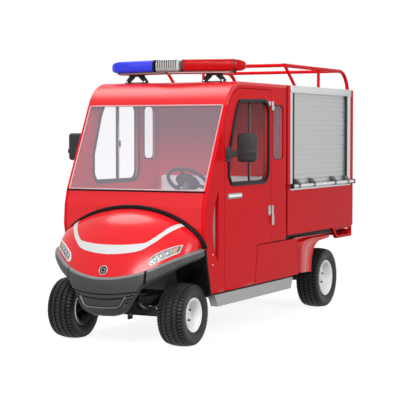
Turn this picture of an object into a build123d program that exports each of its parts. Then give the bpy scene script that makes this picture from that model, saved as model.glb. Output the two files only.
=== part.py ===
from build123d import *
from math import atan2, cos, hypot, radians, sin, sqrt, tan

# Small electric fire truck: a narrow two-door cab, a load box with a roller
# shutter on each side, a tube rack and a light bar on the roof.
# Millimetres. The nose points along -Y, the driver's side is +X, +Z is up and
# the origin lies on the ground in the middle of the length.

# Stance
wheelbase = 2567
front_overhang = 380
box_overhang = 516
tail_thick = 21
rear_overhang = box_overhang + tail_thick
front_axle_y = (front_overhang - wheelbase - rear_overhang) / 2
rear_axle_y = front_axle_y + wheelbase


def aft(distance):
    """Y of a place that lies this far behind the front axle."""
    return front_axle_y + distance


def aft_points(table):
    """Side view points whose first column is counted from the front axle."""
    return [(aft(y), z) for y, z in table]


# General fits and main sizes
seat = 0.3
half_cab = 600
wall = 30
half_inside = half_cab - wall
inner_x = half_inside - seat
roof_z = 1925
roof_thick = 25
side_top_z = roof_z - roof_thick
edge_round = 14
glass_thick = 6
glass_depth = 12
glass_x = half_inside + glass_depth

# Wheels: the hub heights are also the tyre radii
front_hub_z = 229
rear_hub_z = 260
front_half_track = 462
rear_half_track = 459
rim_seat = 0.3
hub_bore_radius = 18.3
spindle_radius = 18
spindle_end = 12
hub_radius = 36
lug_radius = 9
lug_long = 26
lug_circle = 51
lug_count = 4
wheel_table = (
    # end, axle y, half track, tyre radius, tyre width, flange radius, barrel radius
    ("front", front_axle_y, front_half_track, front_hub_z, 212, 126, 106),
    ("rear", rear_axle_y, rear_half_track, rear_hub_z, 206, 155, 134),
)

# Chassis frame
rail_track = 302
rail_x = front_half_track - rail_track
rail_wide = 60
rail_inner_x = rail_x - rail_wide / 2
rail_outer_x = rail_x + rail_wide / 2
rail_low_z = 275
rail_high_z = 350
rear_rail_low_z = 430
rear_rail_high_z = 505
box_floor_rise = 180
box_floor_z = 2 * rear_hub_z + box_floor_rise

# Cab
cab_back = 1547
b_panel_low_z = 672
floor_low_z = rail_high_z
floor_thick = 30
floor_high_z = floor_low_z + floor_thick
floor_back = cab_back - wall - seat
seat_room = 562
seat_box_front = cab_back - seat_room
seat_box_top_z = 670
seat_box_wall = 20
windscreen_foot = (117, 1112)
brow_drop = 179
windscreen_head = (434, roof_z - brow_drop)
brow_end_y = 700
brow_run = brow_end_y - windscreen_head[0]
brow_radius = (brow_run**2 + brow_drop**2) / (2 * brow_drop)
brow_centre = (brow_end_y, roof_z - brow_radius)
brow_share = (brow_radius - roof_thick) / brow_radius
roof_lip = (
    brow_centre[0] - brow_run * brow_share,
    brow_centre[1] + (windscreen_head[1] - brow_centre[1]) * brow_share,
)
nose_profile = ((179, 385), (127, 570), (75, 853), (86, 997))
nose_thick = 25
side_low_z = nose_profile[0][1]

# Room between the back of the cab and the rear tyre
wheel_room = wheelbase - rear_hub_z - cab_back


def in_room(share):
    """Place behind the front axle, as a share of the room behind the cab."""
    return cab_back + share * wheel_room


# Doors
door_gap = 5
b_panel_long = 300
door_rear = cab_back - b_panel_long
door_hinge_out = 12
door_hinge_x = half_cab + door_hinge_out
door_hinge_y = door_rear + door_gap
door_front = 405
door_bend_drop = 300
door_head_run = 50
door_head_drop = 200
door_top_drop = 53
door_top_z = roof_z - door_top_drop
door_brow_radius = 277.7
door_outline = (
    (door_front, side_low_z),
    (door_front, roof_z - door_bend_drop),
    (door_front + door_head_run, roof_z - door_head_drop),
)
notch_z = 668
notch_back = 40
door_notch = (
    (door_rear, notch_z),
    (seat_box_front + door_gap, notch_z),
    (seat_box_front - notch_back, side_low_z),
)
window_low_z = 1160
window_drop = 143
window_high_z = roof_z - window_drop
window_rise = window_high_z - window_low_z
window_rear_edge = 62
window_rear = door_rear - window_rear_edge
window_front_edges = (
    # behind the door's front edge, share of the window's height
    (73, 0.088),
    (73, 0.334),
    (180, 0.804),
    (245, 0.977),
)
window_foot_edge = 115
window_points = tuple(
    (door_front + back, window_low_z + share * window_rise) for back, share in window_front_edges
) + (
    (window_rear, window_high_z),
    (window_rear, window_low_z),
    (door_front + window_foot_edge, window_low_z),
)
window_corner = 38
quarter_low_z = 1326
quarter_drop = 169
quarter_high_z = roof_z - quarter_drop
quarter_back = 162
quarter_wide = 200
quarter_corner = 45
quarter_centre = (cab_back - quarter_back, (quarter_low_z + quarter_high_z) / 2)
quarter_high = quarter_high_z - quarter_low_z

# Load box
box_gap = 37
box_front = cab_back + box_gap
box_rear = wheelbase + box_overhang
box_middle = (box_front + box_rear) / 2
box_long = box_rear - box_front
box_floor_thick = 40
box_floor_top = box_floor_z + box_floor_thick

# Roller shutters: insets count from the front, the rear and the top of the box side
opening_front_inset = 84
opening_rear_inset = 126
opening_front = box_front + opening_front_inset
opening_rear = box_rear - opening_rear_inset
opening_low_z = 1098
frame_front_inset = 46
frame_rear_inset = 88
frame_top_inset = 3
frame_outer_front = box_front + frame_front_inset
frame_outer_rear = box_rear - frame_rear_inset
frame_outer_low_z = 1066
frame_outer_high_z = side_top_z - frame_top_inset
clear_front_inset = 115
clear_rear_inset = 173
clear_top_inset = 34
frame_clear_front = box_front + clear_front_inset
frame_clear_rear = box_rear - clear_rear_inset
frame_clear_low_z = 1104
frame_clear_high_z = side_top_z - clear_top_inset
frame_proud = 6
header_proud = 12
curtain_in = 20
curtain_x = half_cab - curtain_in
curtain_thick = 8
slat_groove = 4
guide_deep = 28
curtain_tuck = 12
curtain_front = frame_clear_front - curtain_tuck
curtain_rear = frame_clear_rear + curtain_tuck
curtain_long = curtain_rear - curtain_front
curtain_low_z = frame_clear_low_z
curtain_head = 14
curtain_high_z = frame_clear_high_z + curtain_head
slat_count = 19
slat_pitch = (curtain_high_z - curtain_low_z) / slat_count
lift_bar_out = 26
lift_bar_x = half_cab + lift_bar_out
lift_bar_z = 1100
lift_bar_radius = 13

# Plan of the front bumper: a wide nose arc and two corner arcs
bumper_front = -front_overhang
bumper_inset = 10
bumper_half = half_cab - bumper_inset
nose_bow = 110
bumper_radius = bumper_half + nose_bow
bumper_corner = 250
bumper_wall = 28
bumper_corner_x = bumper_half - bumper_corner
bumper_centre_y = bumper_front + bumper_radius
bumper_corner_y = bumper_centre_y - sqrt((bumper_radius - bumper_corner) ** 2 - bumper_corner_x**2)
bumper_turn = atan2(bumper_corner_y - bumper_centre_y, bumper_corner_x)
bumper_join = (bumper_radius * cos(bumper_turn), bumper_centre_y + bumper_radius * sin(bumper_turn))

left_pieces = {}
whole_pieces = {}

# Ladder frame: two rails that step up over the rear axle, each with a horn
# to the bumper; the left horn carries the tow eye
frame_front_inset_y = 145
frame_rear_inset_y = 35
frame_front = bumper_front + frame_front_inset_y
frame_rear = box_rear - frame_rear_inset_y
kick_gap = 13
kick_start = cab_back + kick_gap
kick_end = in_room(0.333)
kick_lag = 40
horn_low_z = 290
horn_high_z = 335
horn_front = bumper_centre_y - sqrt((bumper_radius - bumper_wall) ** 2 - rail_outer_x**2) + seat
tow_eye_out = 10
tow_eye_back = 125
tow_eye_x = rail_x + tow_eye_out
tow_eye_y = bumper_front + tow_eye_back
tow_eye_z = 235
tow_eye_thick = 12
tow_eye_radius = 12
tow_eye_half = 28
tow_eye_foot = 26
tow_eye_sink = 10
with BuildPart() as chassis_frame:
    with BuildSketch(Plane.YZ.offset(rail_inner_x)):
        with BuildLine():
            Polyline(
                aft_points(
                    (
                        (frame_front, rail_low_z),
                        (frame_front, horn_low_z),
                        (horn_front, horn_low_z),
                        (horn_front, horn_high_z),
                        (frame_front, horn_high_z),
                        (frame_front, rail_high_z),
                        (kick_start, rail_high_z),
                        (kick_end, rear_rail_high_z),
                        (frame_rear, rear_rail_high_z),
                        (frame_rear, rear_rail_low_z),
                        (kick_end + kick_lag, rear_rail_low_z),
                        (kick_start + kick_lag, rail_low_z),
                    )
                ),
                close=True,
            )
        make_face()
    extrude(amount=rail_wide)
    mirror(about=Plane.YZ)
    tow_eye_low_z = tow_eye_z - tow_eye_foot
    tow_eye_high = horn_low_z + tow_eye_sink - tow_eye_low_z
    with BuildSketch(Plane.YZ.offset(tow_eye_x - tow_eye_thick / 2)):
        with Locations((aft(tow_eye_y), tow_eye_low_z + tow_eye_high / 2)):
            Rectangle(2 * tow_eye_half, tow_eye_high)
        with Locations((aft(tow_eye_y), tow_eye_z)):
            Circle(tow_eye_radius, mode=Mode.SUBTRACT)
    extrude(amount=tow_eye_thick)
whole_pieces["chassis_frame"] = chassis_frame

# Front axle beam with a yoke and kingpin at each end
kingpin_in = 142
kingpin_x = front_half_track - kingpin_in
kingpin_radius = 9.7
yoke_low = 50
yoke_high = 68
yoke_web_in = 32
yoke_web_x = kingpin_x - yoke_web_in
yoke_web_thick = 28
yoke_half_width = 18
axle_half_beam = 25
yoke_middle_x = yoke_web_x - yoke_web_thick / 2
with BuildPart() as front_axle:
    with Locations((0, front_axle_y, front_hub_z)):
        Box(2 * yoke_web_x, 2 * axle_half_beam, 2 * axle_half_beam)
    for side in (1, -1):
        with Locations((side * yoke_middle_x, front_axle_y, front_hub_z)):
            Box(yoke_web_thick, 2 * yoke_half_width, 2 * yoke_high)
        for level in (yoke_low, -yoke_high):
            with Locations((side * yoke_middle_x, front_axle_y, front_hub_z + level)):
                Box(
                    kingpin_x - yoke_middle_x,
                    2 * yoke_half_width,
                    yoke_high - yoke_low,
                    align=(Align.MIN if side > 0 else Align.MAX, Align.CENTER, Align.MIN),
                )
            with Locations((side * kingpin_x, front_axle_y, front_hub_z + level)):
                Cylinder(
                    yoke_half_width,
                    yoke_high - yoke_low,
                    align=(Align.CENTER, Align.CENTER, Align.MIN),
                )
        with Locations((side * kingpin_x, front_axle_y, front_hub_z)):
            Cylinder(kingpin_radius, 2 * yoke_high)
whole_pieces["front_axle"] = front_axle

# Leaf springs, an arched band over each axle end; their ends hang from the rails
axle_tube_radius = 35
front_spring_drop = 12
front_spring_out = 19
front_spring_half = 200
front_spring_thick = 20
front_spring_width = 34
front_spring_top_z = rail_high_z - front_spring_drop
front_spring_x = rail_outer_x + front_spring_out
rear_spring_drop = 29
rear_spring_out = 60
rear_spring_half = 330
rear_spring_thick = 26
rear_spring_width = 45
rear_spring_top_z = rear_rail_low_z - rear_spring_drop
rear_spring_x = rail_outer_x + rear_spring_out
spring_table = (
    # place, half span, low z on the axle, top z at the ends, thickness, centre x, width
    (
        0,
        front_spring_half,
        front_hub_z + axle_half_beam,
        front_spring_top_z,
        front_spring_thick,
        front_spring_x,
        front_spring_width,
    ),
    (
        wheelbase,
        rear_spring_half,
        rear_hub_z + axle_tube_radius,
        rear_spring_top_z,
        rear_spring_thick,
        rear_spring_x,
        rear_spring_width,
    ),
)
with BuildPart() as springs:
    for place, span, low, end_top, thick, centre_x, width in spring_table:
        front_end = aft(place - span)
        rear_end = aft(place + span)
        end_low = end_top - thick
        with BuildSketch(Plane.YZ.offset(centre_x - width / 2)):
            with BuildLine():
                lower = ThreePointArc((front_end, end_low), (aft(place), low), (rear_end, end_low))
                upper = ThreePointArc((front_end, end_top), (aft(place), low + thick), (rear_end, end_top))
                Line(lower @ 0, upper @ 0)
                Line(lower @ 1, upper @ 1)
            make_face()
        extrude(amount=width)
    mirror(about=Plane.YZ)
whole_pieces["springs"] = springs

# Side steps, and the side panels under the bench
sill_front = 238
sill_rear = in_room(0.192)
sill_low_z = 260
sill_high_z = floor_low_z - seat
sill_front_lean = 57
sill_rear_lean = 35
sill_in = 60
sill_inner_x = half_cab - sill_in
sill_outline = (
    (sill_front, sill_high_z),
    (sill_rear, sill_high_z),
    (sill_rear - sill_rear_lean, sill_low_z),
    (sill_front + sill_front_lean, sill_low_z),
)
with BuildPart() as side_sills:
    with BuildSketch(Plane.YZ.offset(sill_inner_x)):
        with BuildLine():
            Polyline(aft_points(sill_outline), close=True)
        make_face()
    extrude(amount=half_cab - sill_inner_x)
    mirror(about=Plane.YZ)
whole_pieces["side_sills"] = side_sills

pod_low_z = 362
pod_drop = 39
pod_high_z = box_floor_z - pod_drop
pod_ahead = 35
pod_behind = 17
pod_front_low = seat_box_front - pod_ahead
pod_front_high = seat_box_front + pod_behind
pod_outline = (
    (pod_front_low, pod_low_z),
    (pod_front_high, pod_high_z),
    (in_room(0.2724), pod_high_z),
    (in_room(0.3434), pod_low_z),
)
with BuildPart() as side_pods:
    with BuildSketch(Plane.YZ.offset(half_inside)):
        with BuildLine():
            Polyline(aft_points(pod_outline), close=True)
        make_face()
    extrude(amount=wall)
    mirror(about=Plane.YZ)
whole_pieces["side_pods"] = side_pods

# Rear wheel fenders: a flat panel with a raised lip along the arch
fender_inset = 55
fender_x = half_cab - fender_inset
fender_thick = 18
fender_lip = 12
fender_front = in_room(0.4145)
fender_lean = 23
fender_overrun = 22
fender_rear = wheelbase + fender_overrun
fender_drop = 51
fender_top_z = box_floor_z - fender_drop
fender_foot_z = 370
arch_foot = in_room(0.796)
arch_foot_z = 349
arch_bend = 38
arch_ahead = 267
arch_top = wheelbase - arch_ahead
arch_bend_drop = 190
arch_top_drop = 100
arch_tail_drop = 85
lip_bend_drop = 160
lip_wide = 45
arch_line = (
    (arch_foot, arch_foot_z),
    (arch_foot + arch_bend, box_floor_z - arch_bend_drop),
    (arch_top, box_floor_z - arch_top_drop),
)
fender_tail = ((fender_rear, box_floor_z - arch_tail_drop), (fender_rear, fender_top_z))
fender_edge = ((fender_front + fender_lean, fender_top_z), (fender_front, fender_foot_z))
lip_line = (
    (arch_foot - lip_wide, arch_foot_z),
    (arch_foot - lip_wide / 4, box_floor_z - lip_bend_drop),
    (arch_top - lip_wide / 4, fender_top_z),
)
with BuildPart() as rear_fenders:
    with BuildSketch(Plane.YZ.offset(fender_x)):
        with BuildLine():
            arch = ThreePointArc(*aft_points(arch_line))
            Polyline([arch @ 1] + aft_points(fender_tail + fender_edge) + [arch @ 0])
        make_face()
    extrude(amount=fender_thick)
    with BuildSketch(Plane.YZ.offset(fender_x + fender_thick)):
        with BuildLine():
            arch = ThreePointArc(*aft_points(arch_line))
            edge = ThreePointArc(*aft_points(lip_line))
            Polyline([arch @ 1] + aft_points(fender_tail) + [edge @ 1])
            Line(arch @ 0, edge @ 0)
        make_face()
    extrude(amount=fender_lip)
    mirror(about=Plane.YZ)
whole_pieces["rear_fenders"] = rear_fenders

# Cross members, outriggers, posts under the load box and spring hangers;
# each butts against a rail
member_deep = 40
outrigger_low_z = 310
rear_member_low_z = 445
rear_member_high_z = 490
sill_reach = sill_inner_x - seat
fender_reach = fender_x - seat
sill_long = sill_rear - sill_front
tail_member_inset = 63
tail_member = box_rear - tail_member_inset
axle_member_ahead = 317
member_table = (
    # place, low z, high z, reach of its outriggers
    (frame_front + member_deep / 2, rail_low_z, rail_high_z, 0),
    (sill_front + 0.125 * sill_long, outrigger_low_z, rail_high_z, sill_reach),
    (sill_front + 0.493 * sill_long, outrigger_low_z, rail_high_z, sill_reach),
    (sill_front + 0.860 * sill_long, outrigger_low_z, rail_high_z, sill_reach),
    (in_room(0.4645), rear_member_low_z, rear_member_high_z, fender_reach),
    (wheelbase - axle_member_ahead, rear_member_low_z, rear_member_high_z, 0),
    (tail_member, rear_member_low_z, rear_member_high_z, 0),
)
hanger_deep = 40
front_hanger_rise = 25
rear_hanger_rise = 20
front_hanger_x = front_spring_x + front_spring_width / 2
rear_hanger_x = rear_spring_x + rear_spring_width / 2
front_hanger_high_z = rail_high_z + front_hanger_rise
rear_hanger_high_z = rear_rail_low_z + rear_hanger_rise
hanger_table = (
    # place, outer x, low z, high z
    (-front_spring_half, front_hanger_x, front_spring_top_z + seat, front_hanger_high_z),
    (front_spring_half, front_hanger_x, front_spring_top_z + seat, front_hanger_high_z),
    (wheelbase - rear_spring_half, rear_hanger_x, rear_spring_top_z + seat, rear_hanger_high_z),
    (wheelbase + rear_spring_half, rear_hanger_x, rear_spring_top_z + seat, rear_hanger_high_z),
)
middle_post_ahead = 147
rear_post_inset = 83
post_places = (in_room(0.3987), wheelbase - middle_post_ahead, box_rear - rear_post_inset)
post_wide = 50
post_deep = 60
hitch_back = 80
hitch_wide = 90
hitch_z = 460
hitch_thick = 12
hitch_radius = 12.5
hitch_edge = 24
with BuildPart() as frame_members:
    for place, low, high, reach in member_table:
        with Locations((0, aft(place), (low + high) / 2)):
            Box(2 * rail_inner_x, member_deep, high - low)
        if reach:
            with Locations((0, aft(place), (low + high) / 2)):
                with GridLocations(rail_outer_x + reach, 1, 2, 1):
                    Box(reach - rail_outer_x, member_deep, high - low)
    for place, far, low, high in hanger_table:
        with Locations((0, aft(place), (low + high) / 2)):
            with GridLocations(rail_outer_x + far, 1, 2, 1):
                Box(far - rail_outer_x, hanger_deep, high - low)
    for place in post_places:
        with Locations((0, aft(place), (rear_rail_high_z + box_floor_z) / 2)):
            with GridLocations(2 * rail_x, 1, 2, 1):
                Box(post_wide, post_deep, box_floor_z - rear_rail_high_z)
    with Locations((0, aft(tail_member), hitch_z)):
        Box(hitch_wide, hitch_back, hitch_thick, align=(Align.CENTER, Align.MIN, Align.CENTER))
    with Locations((0, aft(tail_member) + hitch_back - hitch_edge, hitch_z)):
        Hole(hitch_radius, depth=hitch_thick)
whole_pieces["frame_members"] = frame_members

# Rear axle: tube, differential, gear case and electric motor
axle_tube_end = 124
axle_tube_half = rear_half_track - axle_tube_end
diff_radius = 92
diff_wide = 110
motor_radius = 74
motor_ahead = 165
motor_lift = 20
motor_gap = 40
motor_sink = 72
gear_wide = 84
motor_start = gear_wide / 2 - motor_sink
motor_end = rear_spring_x - motor_gap
motor_long = motor_end - motor_start
motor_x = (motor_start + motor_end) / 2
gear_high = 120
gear_lift = 10
with BuildPart() as rear_axle:
    with Locations(Location((0, rear_axle_y, rear_hub_z), (0, 90, 0))):
        Cylinder(axle_tube_radius, 2 * axle_tube_half)
        Cylinder(spindle_radius, 2 * (rear_half_track + spindle_end))
        Cylinder(diff_radius, diff_wide)
    with Locations(Location((motor_x, rear_axle_y - motor_ahead, rear_hub_z + motor_lift), (0, 90, 0))):
        Cylinder(motor_radius, motor_long)
    with Locations((0, rear_axle_y - motor_ahead / 2, rear_hub_z + gear_lift)):
        Box(gear_wide, motor_ahead, gear_high)
whole_pieces["rear_axle"] = rear_axle

# Battery pack under the bench, one block
battery_inset = 260
battery_front_gap = 35
battery_rear_gap = 57
battery_top_gap = 40
battery_half = half_inside - battery_inset
battery_front = seat_box_front + battery_front_gap
battery_rear = cab_back - battery_rear_gap
battery_high_z = seat_box_top_z - battery_top_gap
with BuildPart() as battery_pack:
    with Locations((0, aft((battery_front + battery_rear) / 2), (floor_high_z + battery_high_z) / 2)):
        Box(2 * battery_half, battery_rear - battery_front, battery_high_z - floor_high_z)
whole_pieces["battery_pack"] = battery_pack

# Cab floor with the sloping toe board and the bench box
toe_heel_low = 365
toe_heel_high = 378
toe_tip = ((155, 562), (147, 602), (176, 602))
toe_board = (
    ((floor_back, floor_low_z), (toe_heel_low, floor_low_z))
    + toe_tip
    + ((toe_heel_high, floor_high_z), (floor_back, floor_high_z))
)
seat_box_outline = (
    (seat_box_front, floor_high_z),
    (seat_box_front, seat_box_top_z),
    (floor_back, seat_box_top_z),
    (floor_back, seat_box_top_z - seat_box_wall),
    (seat_box_front + seat_box_wall, seat_box_top_z - seat_box_wall),
    (seat_box_front + seat_box_wall, floor_high_z),
)
with BuildPart() as cab_floor:
    with BuildSketch(Plane.YZ.offset(-inner_x)):
        for outline in (toe_board, seat_box_outline):
            with BuildLine():
                Polyline(aft_points(outline), close=True)
            make_face()
    extrude(amount=2 * inner_x)
whole_pieces["cab_floor"] = cab_floor

# Front panel of the cab between the two sides
panel_foot = (130, 560)
with BuildPart() as cab_front_panel:
    with BuildSketch(Plane.YZ.offset(-inner_x)):
        with BuildLine():
            outer = (panel_foot,) + nose_profile[1:] + (windscreen_foot,)
            inner = tuple((y + nose_thick, z) for y, z in reversed(outer))
            Polyline(aft_points(outer + inner), close=True)
        make_face()
    extrude(amount=2 * inner_x)
whole_pieces["cab_front_panel"] = cab_front_panel

# Roof with the rounded brow over the windscreen
with BuildPart() as cab_roof:
    with BuildSketch(Plane.YZ.offset(-half_cab)):
        with BuildLine():
            brow = RadiusArc(
                (aft(windscreen_head[0]), windscreen_head[1]),
                (aft(brow_end_y), roof_z),
                brow_radius,
            )
            Polyline(
                brow @ 1,
                (aft(cab_back), roof_z),
                (aft(cab_back), side_top_z),
                (aft(brow_end_y), side_top_z),
            )
            RadiusArc(
                (aft(brow_end_y), side_top_z),
                (aft(roof_lip[0]), roof_lip[1]),
                -(brow_radius - roof_thick),
            )
            Line((aft(roof_lip[0]), roof_lip[1]), brow @ 0)
        make_face()
    extrude(amount=2 * half_cab)
    long_edges = cab_roof.edges().filter_by(Axis.Y).group_by(Axis.Z)[-1]
    fillet(long_edges, radius=edge_round)
whole_pieces["cab_roof"] = cab_roof


def door_shape(grow):
    """Closed side view outline of a door, grown outwards by a gap."""
    with BuildSketch(mode=Mode.PRIVATE) as shape:
        with BuildLine():
            front = Polyline(aft_points(door_outline))
            head = RadiusArc(front @ 1, (aft(brow_end_y), door_top_z), door_brow_radius)
            Polyline([head @ 1, (aft(door_rear), door_top_z)] + aft_points(door_notch) + [front @ 0])
        make_face()
        if grow:
            offset(amount=grow, kind=Kind.INTERSECTION)
    return shape.sketch


def window_shape(grow):
    """Closed side view outline of a door window with rounded corners."""
    with BuildSketch(mode=Mode.PRIVATE) as shape:
        with BuildLine():
            Polyline(aft_points(window_points), close=True)
        make_face()
        fillet(shape.vertices(), radius=window_corner)
        if grow:
            offset(amount=grow)
    return shape.sketch


# Cab sides: screen pillar, roof rail and the panel behind the door
lens_arc = ((303, 1107), (211, 872), (294, 584))
lens_back = ((309, 640), (309, 1060))
pillar_round = 12
pillar_limit = (windscreen_foot[0] + windscreen_head[0]) / 2 + pillar_round
with BuildPart() as cab_sides:
    with BuildSketch(Plane.YZ.offset(half_inside)):
        with BuildLine():
            front = Polyline(aft_points(nose_profile + (windscreen_foot, windscreen_head, roof_lip)))
            brow = RadiusArc(front @ 1, (aft(brow_end_y), side_top_z), brow_radius - roof_thick)
            Polyline(
                brow @ 1,
                (aft(cab_back), side_top_z),
                (aft(cab_back), b_panel_low_z),
                (aft(door_notch[1][0]), b_panel_low_z),
                (aft(door_notch[2][0]), side_low_z),
                front @ 0,
            )
        make_face()
        add(door_shape(door_gap), mode=Mode.SUBTRACT)
        with Locations((aft(quarter_centre[0]), quarter_centre[1])):
            RectangleRounded(quarter_wide, quarter_high, quarter_corner, mode=Mode.SUBTRACT)
        with BuildLine():
            bow = ThreePointArc(*aft_points(lens_arc))
            Polyline([bow @ 1] + aft_points(lens_back) + [bow @ 0])
        make_face(mode=Mode.SUBTRACT)
    extrude(amount=wall)
    outer_edges = cab_sides.faces().sort_by(Axis.X)[-1].outer_wire().edges()
    pillar_edges = [
        edge
        for edge in outer_edges
        if edge.center().Y < aft(pillar_limit) and edge.center().Z > side_low_z + pillar_round
    ]
    fillet(pillar_edges, radius=pillar_round)
    mirror(about=Plane.YZ)
whole_pieces["cab_sides"] = cab_sides

# Back wall of the cab
with BuildPart() as cab_back_wall:
    with Locations((0, aft(cab_back) - wall / 2, (floor_low_z + side_top_z) / 2)):
        Box(2 * inner_x, wall, side_top_z - floor_low_z)
whole_pieces["cab_back_wall"] = cab_back_wall

# Windscreen and the two narrow windows behind the doors
screen_run = windscreen_head[0] - windscreen_foot[0]
screen_rise = windscreen_head[1] - windscreen_foot[1]
screen_long = hypot(screen_run, screen_rise)
screen_slope = atan2(screen_rise, screen_run)
screen_inset = 3
screen_trim = 6
with BuildPart() as cab_glass:
    screen_plane = Plane(
        origin=(0, aft(windscreen_foot[0]), windscreen_foot[1]),
        x_dir=(0, cos(screen_slope), sin(screen_slope)),
        z_dir=(0, sin(screen_slope), -cos(screen_slope)),
    ).offset(screen_inset)
    with BuildSketch(screen_plane):
        with Locations((screen_long / 2, 0)):
            Rectangle(screen_long - 2 * screen_trim, 2 * inner_x)
    extrude(amount=glass_thick)
    with BuildSketch(Plane.YZ.offset(glass_x)):
        with Locations((aft(quarter_centre[0]), quarter_centre[1])):
            RectangleRounded(quarter_wide - 2 * seat, quarter_high - 2 * seat, quarter_corner - seat)
    quarter = extrude(amount=glass_thick)
    mirror(quarter, about=Plane.YZ)
whole_pieces["cab_glass"] = cab_glass

# Hood: arched sections from the cab panel to the nose
hood_back = 130
hood_back_row = (8, 708, 1000)
hood_rows = (
    # behind the bumper's front, in from the cab's side, edge z, crown z
    (320, 38, 648, 922),
    (200, 124, 604, 832),
    (110, 242, 570, 722),
    (45, 386, 538, 606),
)
hood_sections = [(hood_back, *hood_back_row)] + [(bumper_front + back, *row) for back, *row in hood_rows]
crown_share = 0.64
shoulder_share = 0.711


def hood_loft(grow, drop):
    """Hood body, grown outwards, with its edge dropped."""
    with BuildPart(mode=Mode.PRIVATE) as body:
        for place, inset, edge_z, crown_z in hood_sections:
            w = half_cab - inset + grow
            low = edge_z - drop
            rise = crown_z + grow - edge_z
            with BuildSketch(Plane.XZ.offset(-aft(place) + grow)):
                with BuildLine():
                    crown = ThreePointArc(
                        (-crown_share * w, edge_z + shoulder_share * rise),
                        (0, edge_z + rise),
                        (crown_share * w, edge_z + shoulder_share * rise),
                    )
                    right = TangentArc([crown @ 1, (w, edge_z)], tangent=crown % 1)
                    left = TangentArc([crown @ 0, (-w, edge_z)], tangent=-(crown % 0))
                    Polyline(right @ 1, (w, low), (-w, low), left @ 1)
                make_face()
        loft()
    return body.part


hood_thick = 8
hood_edge = 6
hood_under = 60
mass_low_z = 300
mass_back = 1400
with BuildPart() as cab_mass:
    with BuildSketch(Plane.YZ.offset(-2 * half_cab)):
        with BuildLine():
            outer = ((nose_profile[0][0], mass_low_z),) + nose_profile + (windscreen_foot,)
            inner = ((mass_back, windscreen_foot[1]), (mass_back, mass_low_z))
            Polyline(aft_points(outer + inner), close=True)
        make_face()
    extrude(amount=4 * half_cab)
with BuildPart() as hood:
    add(hood_loft(0, hood_edge))
    add(hood_loft(-hood_thick, hood_under), mode=Mode.SUBTRACT)
    add(cab_mass.part, mode=Mode.SUBTRACT)
whole_pieces["hood"] = hood

# Headlamps laid on the shoulders of the hood
lamp_proud = 7
lamp_inset = 160
lamp_back = 165
lamp_z = 668
lamp_centre = (half_cab - lamp_inset, aft(bumper_front + lamp_back), lamp_z)
lamp_turn = radians(43.8)
lamp_long = 270
lamp_high = 58
lamp_rise = 24
lamp_reach = 130
lamp_under = 40
with BuildPart() as headlamps:
    add(hood_loft(lamp_proud, hood_edge))
    add(hood_loft(seat, lamp_under), mode=Mode.SUBTRACT)
    lamp_plane = Plane(
        origin=lamp_centre,
        x_dir=(cos(lamp_turn), sin(lamp_turn), 0),
        z_dir=(sin(lamp_turn), -cos(lamp_turn), 0),
    )
    with BuildSketch(lamp_plane):
        SlotOverall(lamp_long, lamp_high, rotation=lamp_rise)
    extrude(amount=lamp_reach, both=True, mode=Mode.INTERSECT)
    mirror(about=Plane.YZ)
whole_pieces["headlamps"] = headlamps

# Front bumper: a wall that wraps round the nose, cut to shape from the side
# and from the front, with two grooves across its face
bumper_low_z = 180
bumper_high = 600
bumper_back = 300
wing_end = 112
mask_reach = 2 * half_cab
wing_tip = ((wing_end, 704), (wing_end, 606))
# Side view of the bumper's upper and lower line, counted from its front
bumper_upper = ((-20, 180), (-20, 514), (80, 551))
bumper_lower = ((340, 582), (250, 545), (170, 498), (118, 440), (118, 180))
bumper_side_mask = (
    tuple((bumper_front + back, z) for back, z in bumper_upper)
    + wing_tip
    + tuple((bumper_front + back, z) for back, z in bumper_lower)
)
# Front view of the bumper's lower line, counted in from its side
bumper_face_line = ((400, 222), (284, 430), (245, 455), (-110, 455), (-110, 800))
bumper_face_mask = tuple((bumper_half - inset, z) for inset, z in bumper_face_line)
groove_deep = 6
groove_wide = 9
groove_table = (
    # half length, z in the middle, z at the ends
    (270, 387, 411),
    (165, 352, 366),
)


def bumper_shell(thick):
    """Upright wall of this thickness along the plan of the bumper."""
    with BuildPart(mode=Mode.PRIVATE) as shell:
        with BuildSketch(Plane.XY.offset(bumper_low_z)):
            with BuildLine():
                nose = ThreePointArc(
                    (-bumper_join[0], aft(bumper_join[1])),
                    (0, aft(bumper_front)),
                    (bumper_join[0], aft(bumper_join[1])),
                )
                right = TangentArc([nose @ 1, (bumper_half, aft(bumper_corner_y))], tangent=nose % 1)
                left = TangentArc([nose @ 0, (-bumper_half, aft(bumper_corner_y))], tangent=-(nose % 0))
                back_y = aft(bumper_back)
                Polyline(right @ 1, (bumper_half, back_y), (-bumper_half, back_y), left @ 1)
            make_face()
            offset(amount=-thick, mode=Mode.SUBTRACT)
        extrude(amount=bumper_high)
    return shell.part


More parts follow.
